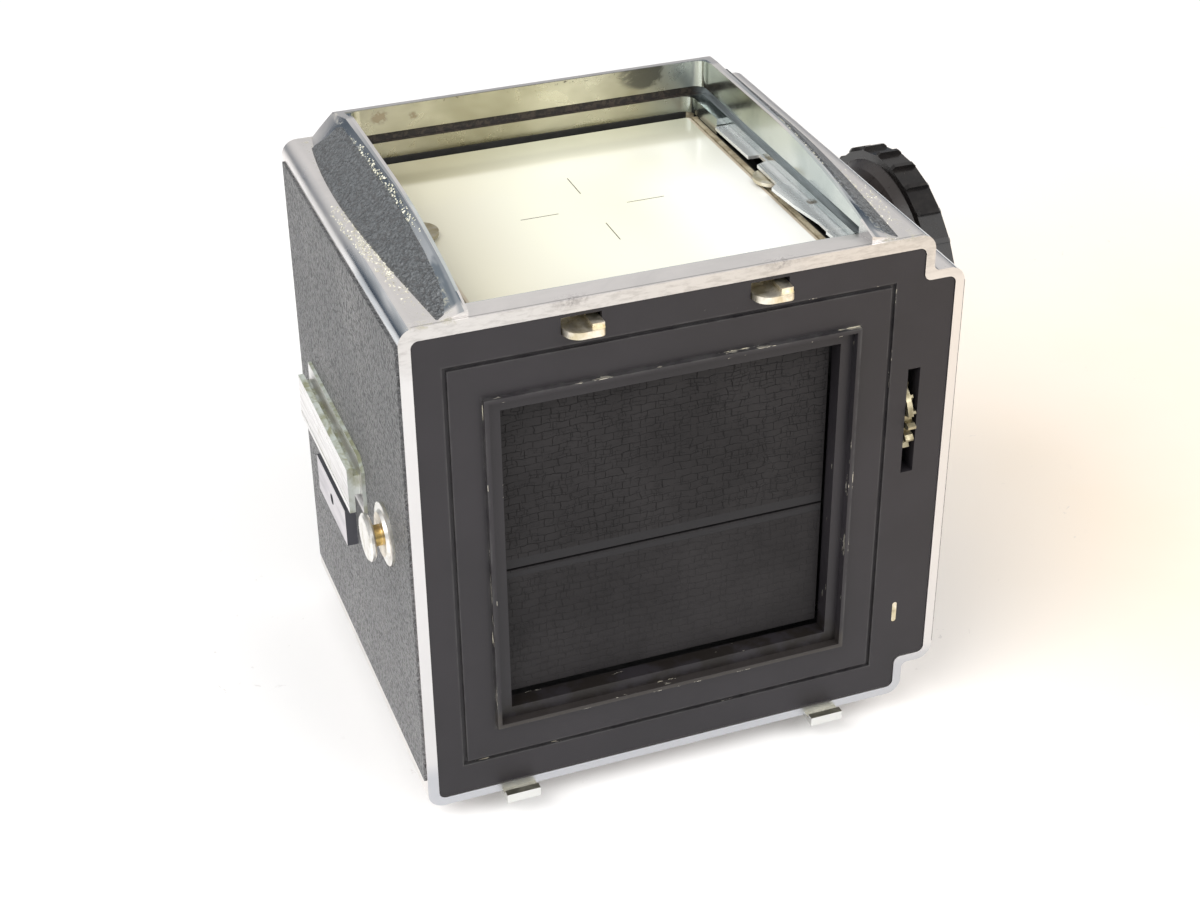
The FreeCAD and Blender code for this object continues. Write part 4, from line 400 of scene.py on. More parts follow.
def pebbled_leather():
    """Black leather covering: soft pebbles about half a millimetre across, with painted highlights on their
    crowns and painted shade in their pits, a blue-grey painted reflection on the rails, a paler painted sheen
    from the table low down, greyed by dust.
    """
    g = Graph("pebbled_leather", Specular_IOR_Level=0.6)
    pebble = g.fall(g.cells(1900.0, g.wander(0.0007, 700.0)), 0.10, 0.66)
    worm = g.span(g.noise(1500.0, 2.0, 0.5, 0.8), 0.34, 0.66)
    height = g.plus(pebble, g.both(worm, 0.5))
    # Painted light: the crowns are lighter and the pits darker.
    top = g.span(g.both(height, 0.67), 0.10, 0.42)
    rubbed = g.span(g.noise(45.0, 4.0, 0.6), 0.35, 0.72)
    on_rail = g.span(g.z, TOP_Z, TOP_Z + 0.0004)
    low = g.span(g.z, 0.01, 0.07, 0.7, 0.0)
    dust = g.both(g.span(g.noise(2300.0, 2.0), 0.71, 0.77), g.span(g.noise(90.0, 2.0), 0.4, 0.7))
    # Low down both tones take a paler painted sheen from the table; on the rails the crowns take a blue-grey
    # painted reflection.
    shaded_pit = g.mix(low, (0.080, 0.082, 0.085), (0.150, 0.149, 0.151))
    lit_crown = g.mix(rubbed, (0.128, 0.130, 0.132), (0.172, 0.170, 0.169))
    lit_crown = g.layers(lit_crown,
                     (g.both(on_rail, 0.8), (0.125, 0.136, 0.145)),
                     (low, (0.235, 0.232, 0.235)))
    tone = g.layers(shaded_pit, (top, lit_crown), (g.both(dust, 0.45), (0.38, 0.37, 0.32)))
    rough = g.blend(top, 0.62, g.span(rubbed, 0.0, 1.0, 0.42, 0.36))
    return g.finish(tone, rough, g.bump(height, 0.00055, 1.0))


def edge_wear(g, up, ring, half, width, share):
    """Thin broken streaks of bare metal along a square edge round the optical axis."""
    along_x = g.noise(700.0, 4.0, 0.7, 0.0, g.stretch(0.22, 1.0, 1.0))
    along_z = g.noise(700.0, 4.0, 0.7, 0.0, g.stretch(1.0, 1.0, 0.22))
    on_level_side = g.span(g.minus(up, g.size(g.x)), -0.0001, 0.0001)
    streak = g.blend(on_level_side, along_z, along_x)
    here = g.both(g.span(streak, 1.0 - share, 1.06 - share), g.span(g.noise(85.0, 3.0), 0.44, 0.56))
    return g.both(g.near(ring, half, width), here)


def plate_paint():
    """Matt black paint of the magazine plate: rubbed along its edges, with painted light along its lip and
    over its trap groove, bare in thin streaks.
    """
    g = Graph("plate_paint", Specular_IOR_Level=0.36)
    across = g.size(g.x)
    up = g.size(g.minus(g.z, AXIS_Z))
    ring = g.most(across, up)
    trap = g.most(across, g.minus(up, TRAP_HALF_Z - TRAP_HALF_X))
    bare = g.most(edge_wear(g, up, ring, LIP_HALF, 0.00016, 0.44),
                  edge_wear(g, up, ring, LIP_INNER, 0.00014, 0.42),
                  edge_wear(g, up, trap, TRAP_HALF_X, 0.00012, 0.40),
                  edge_wear(g, up, ring, GATE_HALF, 0.00012, 0.37))
    chips = g.both(g.span(g.noise(2100.0, 3.0, 0.7), 0.76, 0.79), g.span(g.noise(70.0), 0.52, 0.62))
    shown = g.most(g.span(bare, 0.25, 0.5), chips)
    cloud = g.noise(48.0, 4.0, 0.6)
    rub = g.noise(240.0, 4.0, 0.65)
    # Lighter along the lip's edge and over the trap groove: rubbed paint and painted light.
    rubbed = g.both(g.most(g.near(ring, LIP_HALF, 0.0005), g.near(trap, TRAP_HALF_X, 0.0003),
                           g.near(trap, TRAP_HALF_X - TRAP_WIDTH, 0.0003)), g.span(rub, 0.3, 0.65))
    lower_lip = g.both(g.near(ring, LIP_HALF - 0.0003, 0.0009),
                       g.span(g.z, AXIS_Z - 0.026, AXIS_Z - 0.028), 0.5)
    lower_ledge = g.both(g.within(ring, GATE_HALF - 0.0008, LIP_INNER - 0.0002, 0.0003),
                         g.span(g.z, AXIS_Z - 0.024, AXIS_Z - 0.026), g.span(rub, 0.38, 0.6))
    tone = g.mix(g.span(cloud, 0.3, 0.72), (0.0168, 0.0148, 0.0172), (0.0236, 0.0208, 0.0240))
    tone = g.layers(tone,
                    (g.both(rubbed, 0.5), (0.075, 0.073, 0.072)),
                    (lower_lip, (0.050, 0.042, 0.032)),
                    (g.both(lower_ledge, 0.85), (0.0105, 0.0082, 0.0062)),
                    (shown, (0.58, 0.55, 0.47)))
    rough = g.blend(g.span(cloud, 0.25, 0.75), 0.40, 0.50)
    grit = g.minus(g.noise(4200.0, 3.0), shown)
    return g.finish(tone, rough, g.bump(grit, 0.000012, 0.5), g.both(shown, 0.85))


def creases(g, flat, width, height, offset, thick):
    """Ragged lines of one size: the joints of brickwork laid over the flaps."""
    brick = g.add("ShaderNodeTexBrick", Vector=flat, Scale=1.0, Mortar_Size=thick, Mortar_Smooth=1.0,
                  Brick_Width=width, Row_Height=height)
    brick.offset = offset
    return brick.outputs["Fac"]


def crinkled_cloth():
    """Black rubberised cloth of the flaps: dense creases darkened with painted shade, fading low down, smooth
    at the divide.
    """
    g = Graph("crinkled_cloth", Specular_IOR_Level=0.20)
    x, _, z = g.parts(g.wander(0.0019, 300.0, 6.0, (1.0, 0.0, 0.75)))
    flat = g.add("ShaderNodeCombineXYZ", X=x, Y=z).outputs[0]
    coarse = g.both(creases(g, flat, 0.0028, 0.00130, 0.41, 0.00010),
                    g.span(g.noise(420.0, 3.0, 0.6), 0.34, 0.52, 0.3, 1.0))
    small = g.both(creases(g, flat, 0.00118, 0.00131, 0.23, 0.00008),
                   g.span(g.noise(390.0, 3.0, 0.6), 0.44, 0.60), 0.85)
    fine = g.both(creases(g, flat, 0.00150, 0.00044, 0.35, 0.00006),
                  g.span(g.noise(350.0, 3.0, 0.6), 0.50, 0.66), 0.6)
    on_upper_flap = g.span(g.z, FLAP_DIVIDE, FLAP_DIVIDE + 0.0004)
    low_fade = g.span(g.plus(g.z, g.both(g.x, 0.35)), AXIS_Z - 0.034, AXIS_Z + 0.010, 0.35, 1.0)
    strip = g.within(g.z, FLAP_DIVIDE + 0.0002, FLAP_DIVIDE + 0.0019, 0.0002)
    bead = g.within(g.z, FLAP_DIVIDE - 0.0012, FLAP_DIVIDE - 0.0005, 0.0003)
    smooth = g.most(strip, bead)
    drawn = g.both(g.most(coarse, small, fine), low_fade, g.blend(on_upper_flap, 0.75, 1.0))
    drawn = g.both(drawn, g.outside(smooth))
    weave = g.noise(3600.0, 2.0)
    puff = g.noise(520.0, 3.0, 0.6)
    height = g.plus(g.both(weave, 0.12), g.both(puff, 0.5))
    height = g.minus(g.plus(height, bead), drawn)
    cloud = g.noise(75.0, 4.0, 0.6)
    lint = g.both(g.span(g.noise(1900.0, 3.0), 0.77, 0.80), g.span(g.noise(60.0), 0.5, 0.6))
    tone = g.mix(g.span(cloud, 0.35, 0.7), (0.0140, 0.0125, 0.0132), (0.0212, 0.0192, 0.0200))
    # The creases' dark tone is painted shade.
    tone = g.layers(tone,
                    (smooth, (0.0205, 0.0196, 0.0210)),
                    (g.both(drawn, 0.85), (0.0040, 0.0036, 0.0036)),
                    (g.both(lint, 0.6), (0.35, 0.30, 0.18)))
    return g.finish(tone, g.blend(drawn, 0.55, 0.85), g.bump(height, 0.00010, 0.8))


# Materials of the finder bay

def frame_paint():
    """Screen frame: black, with a worn beige edge next to the glass."""
    g = Graph("frame_paint", Specular_IOR_Level=0.35)
    edge = g.most(g.within(g.size(g.x), SCREEN_HIGH[0] - 0.0005, SCREEN_HIGH[0] + 0.0008, 0.0002),
                  g.within(g.y, SCREEN_LOW[1] - 0.0008, SCREEN_LOW[1] + 0.0005, 0.0002))
    rub = g.noise(500.0, 4.0, 0.6)
    black = g.mix(rub, (0.012, 0.012, 0.012), (0.026, 0.025, 0.024))
    beige = g.mix(g.span(rub, 0.35, 0.65), (0.58, 0.52, 0.38), (0.36, 0.30, 0.20))
    return g.finish(g.mix(edge, black, beige), g.span(rub, 0.3, 0.7, 0.45, 0.6), g.bump(rub, 0.00002, 0.4))


def ground_glass():
    """Ground focusing screen under clear glass: cream, with a darker painted reflection of the front wall at
    its front, painted shade at its front left corner, painted light in its middle and paler at its right,
    brown in its bevels.
    """
    g = Graph("ground_glass", Specular_IOR_Level=0.4, Roughness=0.5, Coat_Weight=0.7, Coat_Roughness=0.16)
    front = SCREEN_LOW[1]
    depth = g.plus(g.span(g.y, front + 0.002, front + 0.013, 0.0, 0.5),
                   g.span(g.y, front + 0.0085, front + 0.0110, 0.0, 0.5))
    paler_side = g.both(g.span(g.x, 0.030, -0.004), depth)
    front_corner_shade = g.both(g.span(depth, 1.0, 0.2), g.span(g.x, -0.004, 0.027))
    glow = g.both(g.near(g.x, -0.004, 0.024), g.near(g.y, 0.012, 0.030))
    bright = g.both(g.span(g.x, -0.004, -0.021), g.span(g.y, -0.004, 0.010))
    stain = g.span(g.noise(28.0, 3.0), 0.35, 0.75)
    specks = g.span(g.noise(1500.0, 2.0), 0.80, 0.82)
    bevel = g.both(g.span(g.size(g.x), SCREEN_HIGH[0] - 0.0013, SCREEN_HIGH[0] - 0.0010),
                   g.span(g.noise(300.0, 4.0, 0.6, 0.0, g.stretch(1.0, 0.3, 1.0)), 0.2, 0.45, 0.5, 1.0))
    under = g.fall(g.z, SCREEN_HIGH[2] - 0.0009, SCREEN_HIGH[2] - 0.0007)
    # Painted light: the darker front is a painted reflection, the front corner painted shade, the paler side,
    # the glow and the bright patch painted light.
    tone = g.mix(depth, (0.43, 0.43, 0.32), (0.60, 0.57, 0.44))
    tone = g.layers(tone,
                    (paler_side, (0.74, 0.74, 0.66)),
                    (g.both(front_corner_shade, 0.85), (0.31, 0.28, 0.17)),
                    (glow, (0.78, 0.78, 0.60)),
                    (g.both(bright, 0.8), (0.87, 0.87, 0.84)),
                    (g.both(stain, 0.12), (0.66, 0.64, 0.50)),
                    (g.both(specks, 0.7), (0.45, 0.42, 0.33)),
                    (g.both(bevel, 0.9), (0.46, 0.38, 0.27)),
                    (g.both(under, 0.8), (0.26, 0.22, 0.16)))
    return g.finish(tone, None, g.bump(g.noise(5200.0, 2.0), 0.000006, 0.3))


def screen_ink():
    """Printed lines on the screen."""
    g = Graph("screen_ink", Roughness=0.6)
    return g.finish(g.mix(g.noise(2000.0), (0.05, 0.045, 0.035), (0.14, 0.12, 0.09)))


def spring_chrome():
    """Chromed spring strip: pale blue-grey, with painted highlights where its steps turn, brown in one worn
    spot.
    """
    g = Graph("spring_chrome", Metallic=0.7)
    streaks = g.noise(420.0, 4.0, 0.65, 0.3, g.stretch(1.0, 0.16, 1.0))
    steps = g.most(g.near(g.y, 0.0353, 0.0007), g.near(g.y, 0.0088, 0.0008), g.near(g.y, 0.0054, 0.0006))
    spot = g.both(g.near(g.y, 0.0250, 0.0016), g.near(g.x, -0.0312, 0.0011))
    worn = g.both(g.span(spot, 0.2, 0.6), g.span(g.noise(1300.0, 3.0), 0.3, 0.55))
    tone = g.mix(g.span(streaks, 0.36, 0.66), (0.90, 0.905, 0.90), (0.66, 0.69, 0.70))
    # The bright bands where the steps turn are painted highlights.
    tone = g.layers(tone,
                    (g.both(steps, 0.8), (0.94, 0.94, 0.92)),
                    (g.both(worn, 0.8), (0.17, 0.12, 0.07)))
    rough = g.blend(g.span(streaks, 0.35, 0.7), 0.20, 0.36)
    return g.finish(tone, rough, g.bump(streaks, 0.00003, 0.5))


def inner_black():
    """Dull black inside the mirror box."""
    g = Graph("inner_black", Specular_IOR_Level=0.3)
    tone = g.mix(g.noise(80.0, 3.0), (0.012, 0.012, 0.013), (0.028, 0.027, 0.027))
    return g.finish(tone, g.span(g.noise(300.0), 0.3, 0.7, 0.6, 0.8), g.bump(g.noise(2600.0), 0.00003, 0.6))


def silvered_glass():
    """Front-silvered mirror with faint dust."""
    g = Graph("silvered_glass", Metallic=1.0)
    dust = g.span(g.noise(900.0, 3.0, 0.7), 0.66, 0.75)
    tone = g.mix(g.both(dust, 0.3), (0.93, 0.94, 0.94), (0.6, 0.6, 0.58))
    return g.finish(tone, g.both(dust, 0.2))


# Materials of the fittings and the winding train

def worn_nickel(name="worn_nickel", tarnish=0.0):
    """Nickel on brass of the hooks, lugs and clips: scuffed, yellowed and darker in scuffed patches, with
    painted light on the lugs: pale below, dark olive painted shade on their upper faces.
    """
    g = Graph(name, Metallic=1.0)
    _, _, upward = g.facing()
    scuff = g.noise(480.0, 5.0, 0.68, 0.5)
    yellowed = g.span(g.noise(330.0, 4.0, 0.65, 0.4), 0.36, 0.64)
    on_lugs = g.span(g.z, 0.014, 0.011)
    # Painted light on the lugs: pale on their lower faces, dark olive painted shade on their upper faces.
    lug_light_and_shade = g.mix(g.span(upward, 0.3, 0.6), (0.76, 0.77, 0.76), (0.36, 0.35, 0.28))
    tone = g.mix(yellowed, (0.86, 0.81, 0.70), (0.62, 0.55, 0.38))
    tone = g.layers(tone,
                    (g.both(g.span(scuff, 0.55, 0.70), 0.6), (0.34, 0.30, 0.22)),
                    (g.both(on_lugs, 0.9), lug_light_and_shade),
                    (g.blend(scuff, tarnish, 1.2 * tarnish), (0.20, 0.17, 0.10)))
    streaks = g.noise(1500.0, 3.0, 0.6, 0.0, g.stretch(1.0, 0.12, 1.0))
    rough = g.blend(g.span(scuff, 0.35, 0.7), 0.34, 0.55)
    return g.finish(tone, rough, g.bump(g.plus(scuff, g.both(streaks, 0.4)), 0.00002, 0.4))


def brushed_shoe():
    """Accessory rail: scratched bright face, a pale green crust on its upper side and in its groove."""
    g = Graph("brushed_shoe")
    _, rearward, upward = g.facing()
    lines = g.noise(900.0, 4.0, 0.65, 0.0, g.stretch(1.0, 0.06, 1.0))
    grease = g.noise(300.0, 5.0, 0.62, 0.5)
    crust = g.most(g.span(upward, 0.25, 0.6), g.both(g.span(rearward, 0.6, 0.9), 0.8))
    crust = g.both(crust, g.span(grease, 0.22, 0.42, 0.6, 1.0))
    green = g.mix(g.span(grease, 0.40, 0.62), (0.50, 0.54, 0.50), (0.28, 0.29, 0.19))
    tone = g.mix(g.span(lines, 0.35, 0.68), (0.90, 0.885, 0.88), (0.68, 0.665, 0.66))
    tone = g.layers(tone,
                    (g.both(g.span(grease, 0.56, 0.72), 0.4), (0.50, 0.48, 0.38)),
                    (crust, green))
    rough = g.blend(crust, g.span(lines, 0.3, 0.7, 0.26, 0.38), 0.6)
    relief = g.plus(lines, g.both(crust, grease))
    return g.finish(tone, rough, g.bump(relief, 0.00002, 0.35), g.blend(crust, 1.0, 0.15))


def stop_plate_paint():
    """Rail stop plate: dark grey, with a satin, lilac-tinted painted reflection on its outward face."""
    g = Graph("stop_plate_paint", Metallic=0.6)
    outward, _, _ = g.facing()
    lines = g.noise(700.0, 4.0, 0.65, 0.0, g.stretch(1.0, 0.08, 1.0))
    # The pale outward face is a painted reflection.
    face = g.mix(g.span(lines, 0.35, 0.7), (0.66, 0.63, 0.65), (0.52, 0.50, 0.52))
    tone = g.mix(g.span(outward, 0.6, 0.9), (0.11, 0.11, 0.125), face)
    return g.finish(tone, g.span(lines, 0.3, 0.75, 0.42, 0.55), g.bump(lines, 0.00001, 0.35))


def stud_metal():
    """Strap stud: satin chromed head and flange, with the chrome gone from its brass shank."""
    g = Graph("stud_metal", Metallic=1.0)
    out = g.size(g.x)
    scuff = g.noise(500.0, 4.0, 0.65)
    on_flange = g.both(g.span(out, STUD_REACH - 0.0030, STUD_REACH - 0.0034),
                       g.span(g.noise(420.0), 0.4, 0.6))
    on_shank = g.within(out, STUD_REACH - 0.0024, STUD_REACH - 0.00105, 0.00008)
    brass = g.mix(g.span(scuff, 0.4, 0.65), (0.72, 0.52, 0.20), (0.34, 0.23, 0.10))
    tone = g.mix(g.span(scuff, 0.42, 0.7), (0.90, 0.88, 0.84), (0.70, 0.67, 0.60))
    tone = g.layers(tone, (g.both(on_flange, 0.6), (0.55, 0.52, 0.36)), (on_shank, brass))
    return g.finish(tone, g.span(scuff, 0.35, 0.75, 0.28, 0.42), g.bump(scuff, 0.00001, 0.35))


def gloss_plastic():
    """Black plastic knob: glossy pads on its rim, thin brown wear between them, a duller brown bell lightened
    by a painted sheen.
    """
    g = Graph("gloss_plastic", Specular_IOR_Level=0.32)
    dy = g.minus(g.y, (KNOB_LOW[1] + KNOB_HIGH[1]) / 2)
    dz = g.minus(g.z, (KNOB_LOW[2] + KNOB_HIGH[2]) / 2)
    radius = g.maths("SQRT", g.plus(g.both(dy, dy), g.both(dz, dz)))
    knob_radius = KNOB_HIGH[2] / 2 - KNOB_LOW[2] / 2
    on_rim = g.span(radius, knob_radius - 0.0024, knob_radius - 0.0018)
    turn = g.maths("MULTIPLY_ADD", g.maths("ARCTAN2", dz, dy), KNOB_RIDGES / (2 * math.pi), KNOB_PHASE)
    from_ridge = g.size(g.minus(g.maths("FRACT", turn), 0.5))
    worn_ridge = g.both(on_rim, g.span(from_ridge, 0.06, 0.015), g.span(g.noise(75.0, 3.0), 0.50, 0.62))
    rub = g.noise(420.0, 4.0, 0.6)
    lines = g.noise(2600.0, 2.0, 0.5, 0.0, g.stretch(1.0, 0.08, 0.08))
    dust = g.span(g.noise(2200.0, 2.0), 0.74, 0.80)
    # The bell's lighter tone is a painted sheen on its brown tinge.
    bell = g.mix(rub, (0.022, 0.018, 0.017), (0.050, 0.042, 0.040))
    rim = g.mix(g.span(rub, 0.4, 0.7), (0.0060, 0.0050, 0.0050), (0.0130, 0.0110, 0.0100))
    rim = g.layers(rim,
                   (g.both(worn_ridge, 0.5), (0.15, 0.115, 0.065)),
                   (g.both(dust, 0.3), (0.22, 0.19, 0.15)))
    rough = g.blend(on_rim, g.span(rub, 0.3, 0.75, 0.26, 0.36), g.span(rub, 0.3, 0.75, 0.18, 0.30))
    return g.finish(g.mix(on_rim, bell, rim), rough, g.bump(g.plus(lines, rub), 0.000012, 0.4))


def bright_chrome():
    """Polished chrome of the flange, buttons and screws, with hairline scratches."""
    g = Graph("bright_chrome", Metallic=1.0)
    lines = g.noise(300.0, 4.0, 0.7, 0.0, g.stretch(1.0, 9.0, 1.0))
    tone = g.mix(g.span(lines, 0.35, 0.7), (0.82, 0.82, 0.83), (0.74, 0.74, 0.75))
    return g.finish(tone, g.span(lines, 0.3, 0.75, 0.10, 0.24), g.bump(lines, 0.00001, 0.3))


def turned_steel():
    """Steel of the gears and shafts."""
    g = Graph("turned_steel", Metallic=1.0)
    rings = g.noise(2400.0, 3.0, 0.6, 0.0, g.stretch(3.0, 1.0, 1.0))
    tone = g.mix(g.span(rings, 0.3, 0.7), (0.62, 0.61, 0.59), (0.44, 0.43, 0.40))
    return g.finish(tone, g.span(rings, 0.3, 0.7, 0.22, 0.40), g.bump(rings, 0.00001, 0.4))


def cut_brass():
    """Brass of the small gears, tarnished."""
    g = Graph("cut_brass", Metallic=1.0)
    tarnish = g.noise(400.0, 4.0, 0.6)
    tone = g.mix(g.span(tarnish, 0.35, 0.7), (0.78, 0.58, 0.26), (0.45, 0.31, 0.13))
    return g.finish(tone, g.span(tarnish, 0.3, 0.7, 0.22, 0.45), g.bump(tarnish, 0.00002, 0.4))


def wheel_brass():
    """Magazine wheel: olive brass, dull from use."""
    g = Graph("wheel_brass", Metallic=1.0)
    dull = g.noise(600.0, 4.0, 0.65)
    tone = g.mix(g.span(dull, 0.35, 0.68), (0.40, 0.36, 0.25), (0.22, 0.19, 0.12))
    return g.finish(tone, g.span(dull, 0.3, 0.7, 0.34, 0.5), g.bump(dull, 0.00002, 0.4))


def old_glue():
    """Dried glue and lint along the leather's edges."""
    g = Graph("old_glue", Specular_IOR_Level=0.4)
    tone = g.mix(g.span(g.noise(900.0, 3.0), 0.35, 0.62), (0.62, 0.60, 0.46), (0.86, 0.84, 0.72))
    tone = g.mix(g.both(g.span(g.noise(1500.0, 2.0), 0.55, 0.66), 0.7), tone, (0.22, 0.20, 0.13))
    return g.finish(tone, g.span(g.noise(2000.0), 0.3, 0.7, 0.45, 0.7), g.bump(g.noise(4000.0), 0.00003, 0.7))


FINISHES = {
    "shell_metal": shell_chrome(),
    "black_plate": plate_paint(),
    "leather": pebbled_leather(),
    "flap_cloth": crinkled_cloth(),
    "inner_black": inner_black(),
    "nickel": worn_nickel(),
    "screen_glass": ground_glass(),
    "mirror_glass": silvered_glass(),
    "knob_black": gloss_plastic(),
    "bright_chrome": bright_chrome(),
    "steel": turned_steel(),
    "brass": cut_brass(),
}
OWN_FINISH = {
    "accessory_rail": brushed_shoe(),
    "rail_stop_plate": stop_plate_paint(),
    "strap_stud_left": stud_metal(),
    "finder_spring": spring_chrome(),
    "magazine_wheel": wheel_brass(),
    "screen_frame": frame_paint(),
    "screen_clip_left": worn_nickel("tarnished_clip", 0.6),
}
OWN_FINISH["strap_stud_right"] = OWN_FINISH["strap_stud_left"]


def dress_nodes():
    """Gives each CAD node its own finish, or that of its material slot."""
    for part in frame["record"]["subparts"]:
        materials = frame["nodes"][part["node"]].data.materials
        materials.clear()
        materials.append(OWN_FINISH.get(part["node"], FINISHES[part["material_slot"]]))


# Pieces

def mesh_piece(name, build, finish):
    """A new piece on the chassis, from a function that fills a bmesh."""
    mesh = bpy.data.meshes.new(name)
    grid = bmesh.new()
    build(grid)
    grid.to_mesh(mesh)
    grid.free()
    piece = bpy.data.objects.new(name, mesh)
    bpy.context.collection.objects.link(piece)
    mesh.materials.append(finish)
    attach(piece, "chassis")


def bar(grid, low, high):
    """A box between two corners."""
    made = [grid.verts.new((x, y, z))
            for x in (low[0], high[0]) for y in (low[1], high[1]) for z in (low[2], high[2])]
    for face in ((0, 1, 3, 2), (4, 6, 7, 5), (0, 4, 5, 1), (2, 3, 7, 6), (0, 2, 6, 4), (1, 5, 7, 3)):
        grid.faces.new([made[k] for k in face])


def screen_marks():
    """Four short lines on the screen that point at its centre."""
    nearest, farthest, half_width = 0.0058, 0.0121, 0.000075
    sunk_z, top_z = SCREEN_HIGH[2] - 0.0001, SCREEN_HIGH[2] + 0.00002
    middle = (SCREEN_LOW[1] + SCREEN_HIGH[1]) / 2

    def build(grid):
        for sign in (-1, 1):
            low, high = sorted((sign * nearest, sign * farthest))
            bar(grid, (low, middle - half_width, sunk_z), (high, middle + half_width, top_z))
            bar(grid, (-half_width, middle + low, sunk_z), (half_width, middle + high, top_z))

    mesh_piece("screen_marks", build, screen_ink())


# One lump of glue: its points, and how high they stand as shares of its size
CRUMB_POINTS = 9
CRUMB_LIFTS = (-0.1, 0.1, 0.3, 0.45)

# Rays that look for the leather's edge and for the shell start clear of both
CLEAR_X = 0.06
CLEAR_RISE = 0.02
EDGE_STEP = 0.0001
EDGE_STEPS = 60

# How far glue spreads from the leather: up the slope beyond it, or out on the level strip
SPREAD_UP = 0.0011
SPREAD_OUT = 0.0021
SLOPE_RISE = 0.6

# Each run: name, side of x, whether along the upper edge, first and last y, number and largest size
GLUE_RUNS = (
    ("left_upper", 1, True, -0.012, 0.030, 150, 0.00028),
    ("left_lower", 1, False, 0.002, 0.040, 420, 0.00022),
    ("right_lower", -1, False, 0.020, 0.042, 90, 0.00020),
    ("right_upper", -1, True, 0.0, 0.036, 60, 0.00022),
)


def crumb(grid, place, normal, size, chance):
    """A flattened lump of glue: the hull of a few points on the surface that carries it."""
    side = normal.orthogonal().normalized()
    other = normal.cross(side)
    points = []
    for _ in range(CRUMB_POINTS):
        turn = chance.uniform(0.0, 2.0 * math.pi)
        reach = size * chance.uniform(0.4, 1.0)
        lift = size * chance.choice(CRUMB_LIFTS)
        points.append(place + side * reach * math.cos(turn) + other * reach * math.sin(turn) + normal * lift)
    hull = bmesh.ops.convex_hull(grid, input=[grid.verts.new(point) for point in points])
    bmesh.ops.delete(grid, geom=[v for v in hull["geom_interior"] if v.is_valid], context="VERTS")


def leather_edge(side, y, upper):
    """The point on a rail leather's upper or lower edge at a place along it, or None past its end."""
    sheet = frame["nodes"]["rail_leather_left" if side > 0 else "rail_leather_right"]
    edge = None
    for k in range(EDGE_STEPS):
        start = Vector((side * CLEAR_X, y, TOP_Z + EDGE_STEP + k * EDGE_STEP))
        hit, place, *_ = sheet.ray_cast(start, Vector((-side, 0, 0)))
        if hit:
            edge = place
            if not upper:
                break
    return edge


def glue_run(finish, name, side, upper, first_y, last_y, count, largest):
    """Crumbs on the shell beside one edge of a rail's leather, densest halfway along."""
    shell = frame["nodes"]["body_shell"]
    chance = random.Random(name)

    def build(grid):
        for _ in range(count):
            y = chance.triangular(first_y, last_y, (first_y + last_y) / 2)
            edge = leather_edge(side, y, upper)
            if edge is None:
                continue
            off = chance.uniform(0.0, 1.0) ** 1.5 * (SPREAD_UP if upper else SPREAD_OUT)
            if upper:
                start = Vector((side * CLEAR_X, y, edge.z + EDGE_STEP + SLOPE_RISE * off))
                way = Vector((-side, 0, 0))
            else:
                start = Vector((edge.x + side * off, y, TOP_Z + CLEAR_RISE))
                way = Vector((0, 0, -1))
            hit, place, normal, _ = shell.ray_cast(start, way)
            if hit:
                crumb(grid, place, normal, chance.uniform(0.3, 1.0) * largest, chance)

    mesh_piece("glue_" + name, build, finish)


def glue_crumbs():
    """Ragged glue along the edges of both rails' leather, most of it where the photograph shows it."""
    finish = old_glue()
    for run in GLUE_RUNS:
        glue_run(finish, *run)


# Stage, light and camera

TABLE_HALF = 12.0

# The room turns from its horizon's tone to its ceiling's between two heights of a direction
HORIZON_RISE = 0.03
CEILING_RISE = 0.55
HORIZON_TONE = (0.10, 0.125, 0.16, 1)
CEILING_TONE = (0.83, 0.82, 0.81, 1)

# Each lamp: name, place, the point that it faces, the side of its square and its power
LAMPS = (
    ("window", (0.75, 0.35, 0.85), (0, 0, 0.03), 0.9, 10.5),
    ("fill", (-0.5, 0.7, 0.6), (0, 0, 0.04), 0.8, 6.0),
)


def table_top():
    """Pale table surface with a warm painted shade to one side of the camera body, where its shadow falls,
    and a few faint marks.
    """
    g = Graph("table_top", Roughness=0.6, Specular_IOR_Level=0.3)
    # A warm painted shade where the body's shadow falls on the table.
    warm = g.both(g.span(g.x, -0.02, -0.12), g.span(g.y, -0.25, 0.0), g.span(g.x, -0.9, -0.4))
    cloud = g.span(g.noise(11.0, 4.0, 0.6), 0.3, 0.7, 0.8, 1.0)
    marks = g.both(g.span(g.noise(330.0, 4.0, 0.7, 0.6), 0.665, 0.70), g.span(g.noise(24.0, 3.0), 0.48, 0.62))
    tone = g.mix(g.noise(3.0, 3.0), (0.87, 0.865, 0.86), (0.91, 0.905, 0.90))
    tone = g.layers(tone,
                    (g.both(warm, cloud), (0.885, 0.768, 0.635)),
                    (g.both(marks, 0.35), (0.55, 0.52, 0.50)))
    return g.finish(tone, None, g.bump(g.noise(900.0), 0.00004, 0.2))


def make_floor():
    """A large level table, which isn't part of the object."""
    mesh = bpy.data.meshes.new("table")
    corners = [(x * TABLE_HALF, y * TABLE_HALF, 0) for x, y in ((-1, -1), (1, -1), (1, 1), (-1, 1))]
    mesh.from_pydata(corners, [], [(0, 1, 2, 3)])
    mesh.materials.append(table_top())
    table = bpy.data.objects.new("table", mesh)
    bpy.context.collection.objects.link(table)


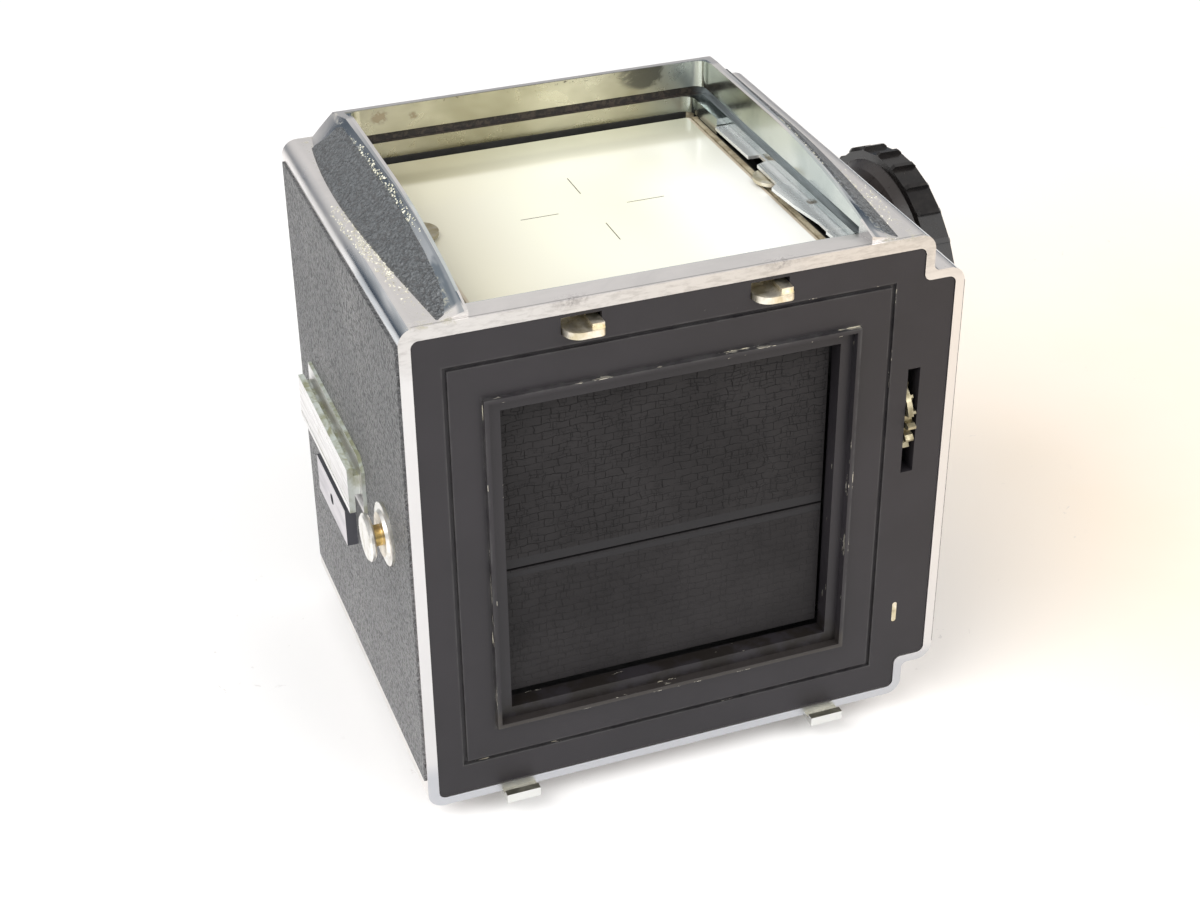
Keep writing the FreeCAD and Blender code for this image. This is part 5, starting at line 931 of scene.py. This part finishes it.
def make_room():
    """A white room that darkens towards its horizon."""
    world = bpy.data.worlds.new("room")
    bpy.context.scene.world = world
    world.use_nodes = True
    nodes, links = world.node_tree.nodes, world.node_tree.links
    place = nodes.new("ShaderNodeTexCoord")
    split = nodes.new("ShaderNodeSeparateXYZ")
    height = nodes.new("ShaderNodeMapRange")
    ramp = nodes.new("ShaderNodeValToRGB")
    height.interpolation_type = "SMOOTHSTEP"
    height.inputs["From Min"].default_value = HORIZON_RISE
    height.inputs["From Max"].default_value = CEILING_RISE
    ramp.color_ramp.elements[0].color = HORIZON_TONE
    ramp.color_ramp.elements[1].color = CEILING_TONE
    links.new(place.outputs["Generated"], split.inputs[0])
    links.new(split.outputs[2], height.inputs["Value"])
    links.new(height.outputs[0], ramp.inputs[0])
    links.new(ramp.outputs[0], nodes["Background"].inputs["Color"])
    nodes["Background"].inputs["Strength"].default_value = 1.0


def make_lamps():
    """Two large soft square lights above the table."""
    for name, place, target, side, power in LAMPS:
        data = bpy.data.lights.new(name, "AREA")
        data.shape = "RECTANGLE"
        data.size = data.size_y = side
        data.energy = power
        lamp = bpy.data.objects.new(name, data)
        lamp.location = place
        lamp.rotation_euler = (Vector(target) - Vector(place)).to_track_quat("-Z", "Y").to_euler()
        bpy.context.collection.objects.link(lamp)


# The photograph's viewpoint, worked out from the edges of the magazine plate
CAMERA_PLACE = Vector((0.10298, 0.29354, 0.22864))
CAMERA_AIM = Vector((0.01219, 0.04600, 0.06496))
CAMERA_ROLL = math.radians(-0.639)
LENS_MM = 62.5
SENSOR_MM = 36.0


def make_camera():
    """A camera with no depth of field and no shift."""
    data = bpy.data.cameras.new("view")
    data.sensor_width = SENSOR_MM
    data.lens = LENS_MM
    data.clip_start = 0.01
    data.clip_end = 20.0
    eye = bpy.data.objects.new("view", data)
    turn = (CAMERA_AIM - CAMERA_PLACE).to_track_quat("-Z", "Y").to_matrix().to_4x4()
    eye.matrix_world = Matrix.Translation(CAMERA_PLACE) @ turn @ Matrix.Rotation(CAMERA_ROLL, 4, "Z")
    bpy.context.collection.objects.link(eye)
    bpy.context.scene.camera = eye


dress_nodes()
screen_marks()
glue_crumbs()
make_floor()
make_room()
make_lamps()
make_camera()
bpy.context.scene.view_settings.view_transform = "Standard"
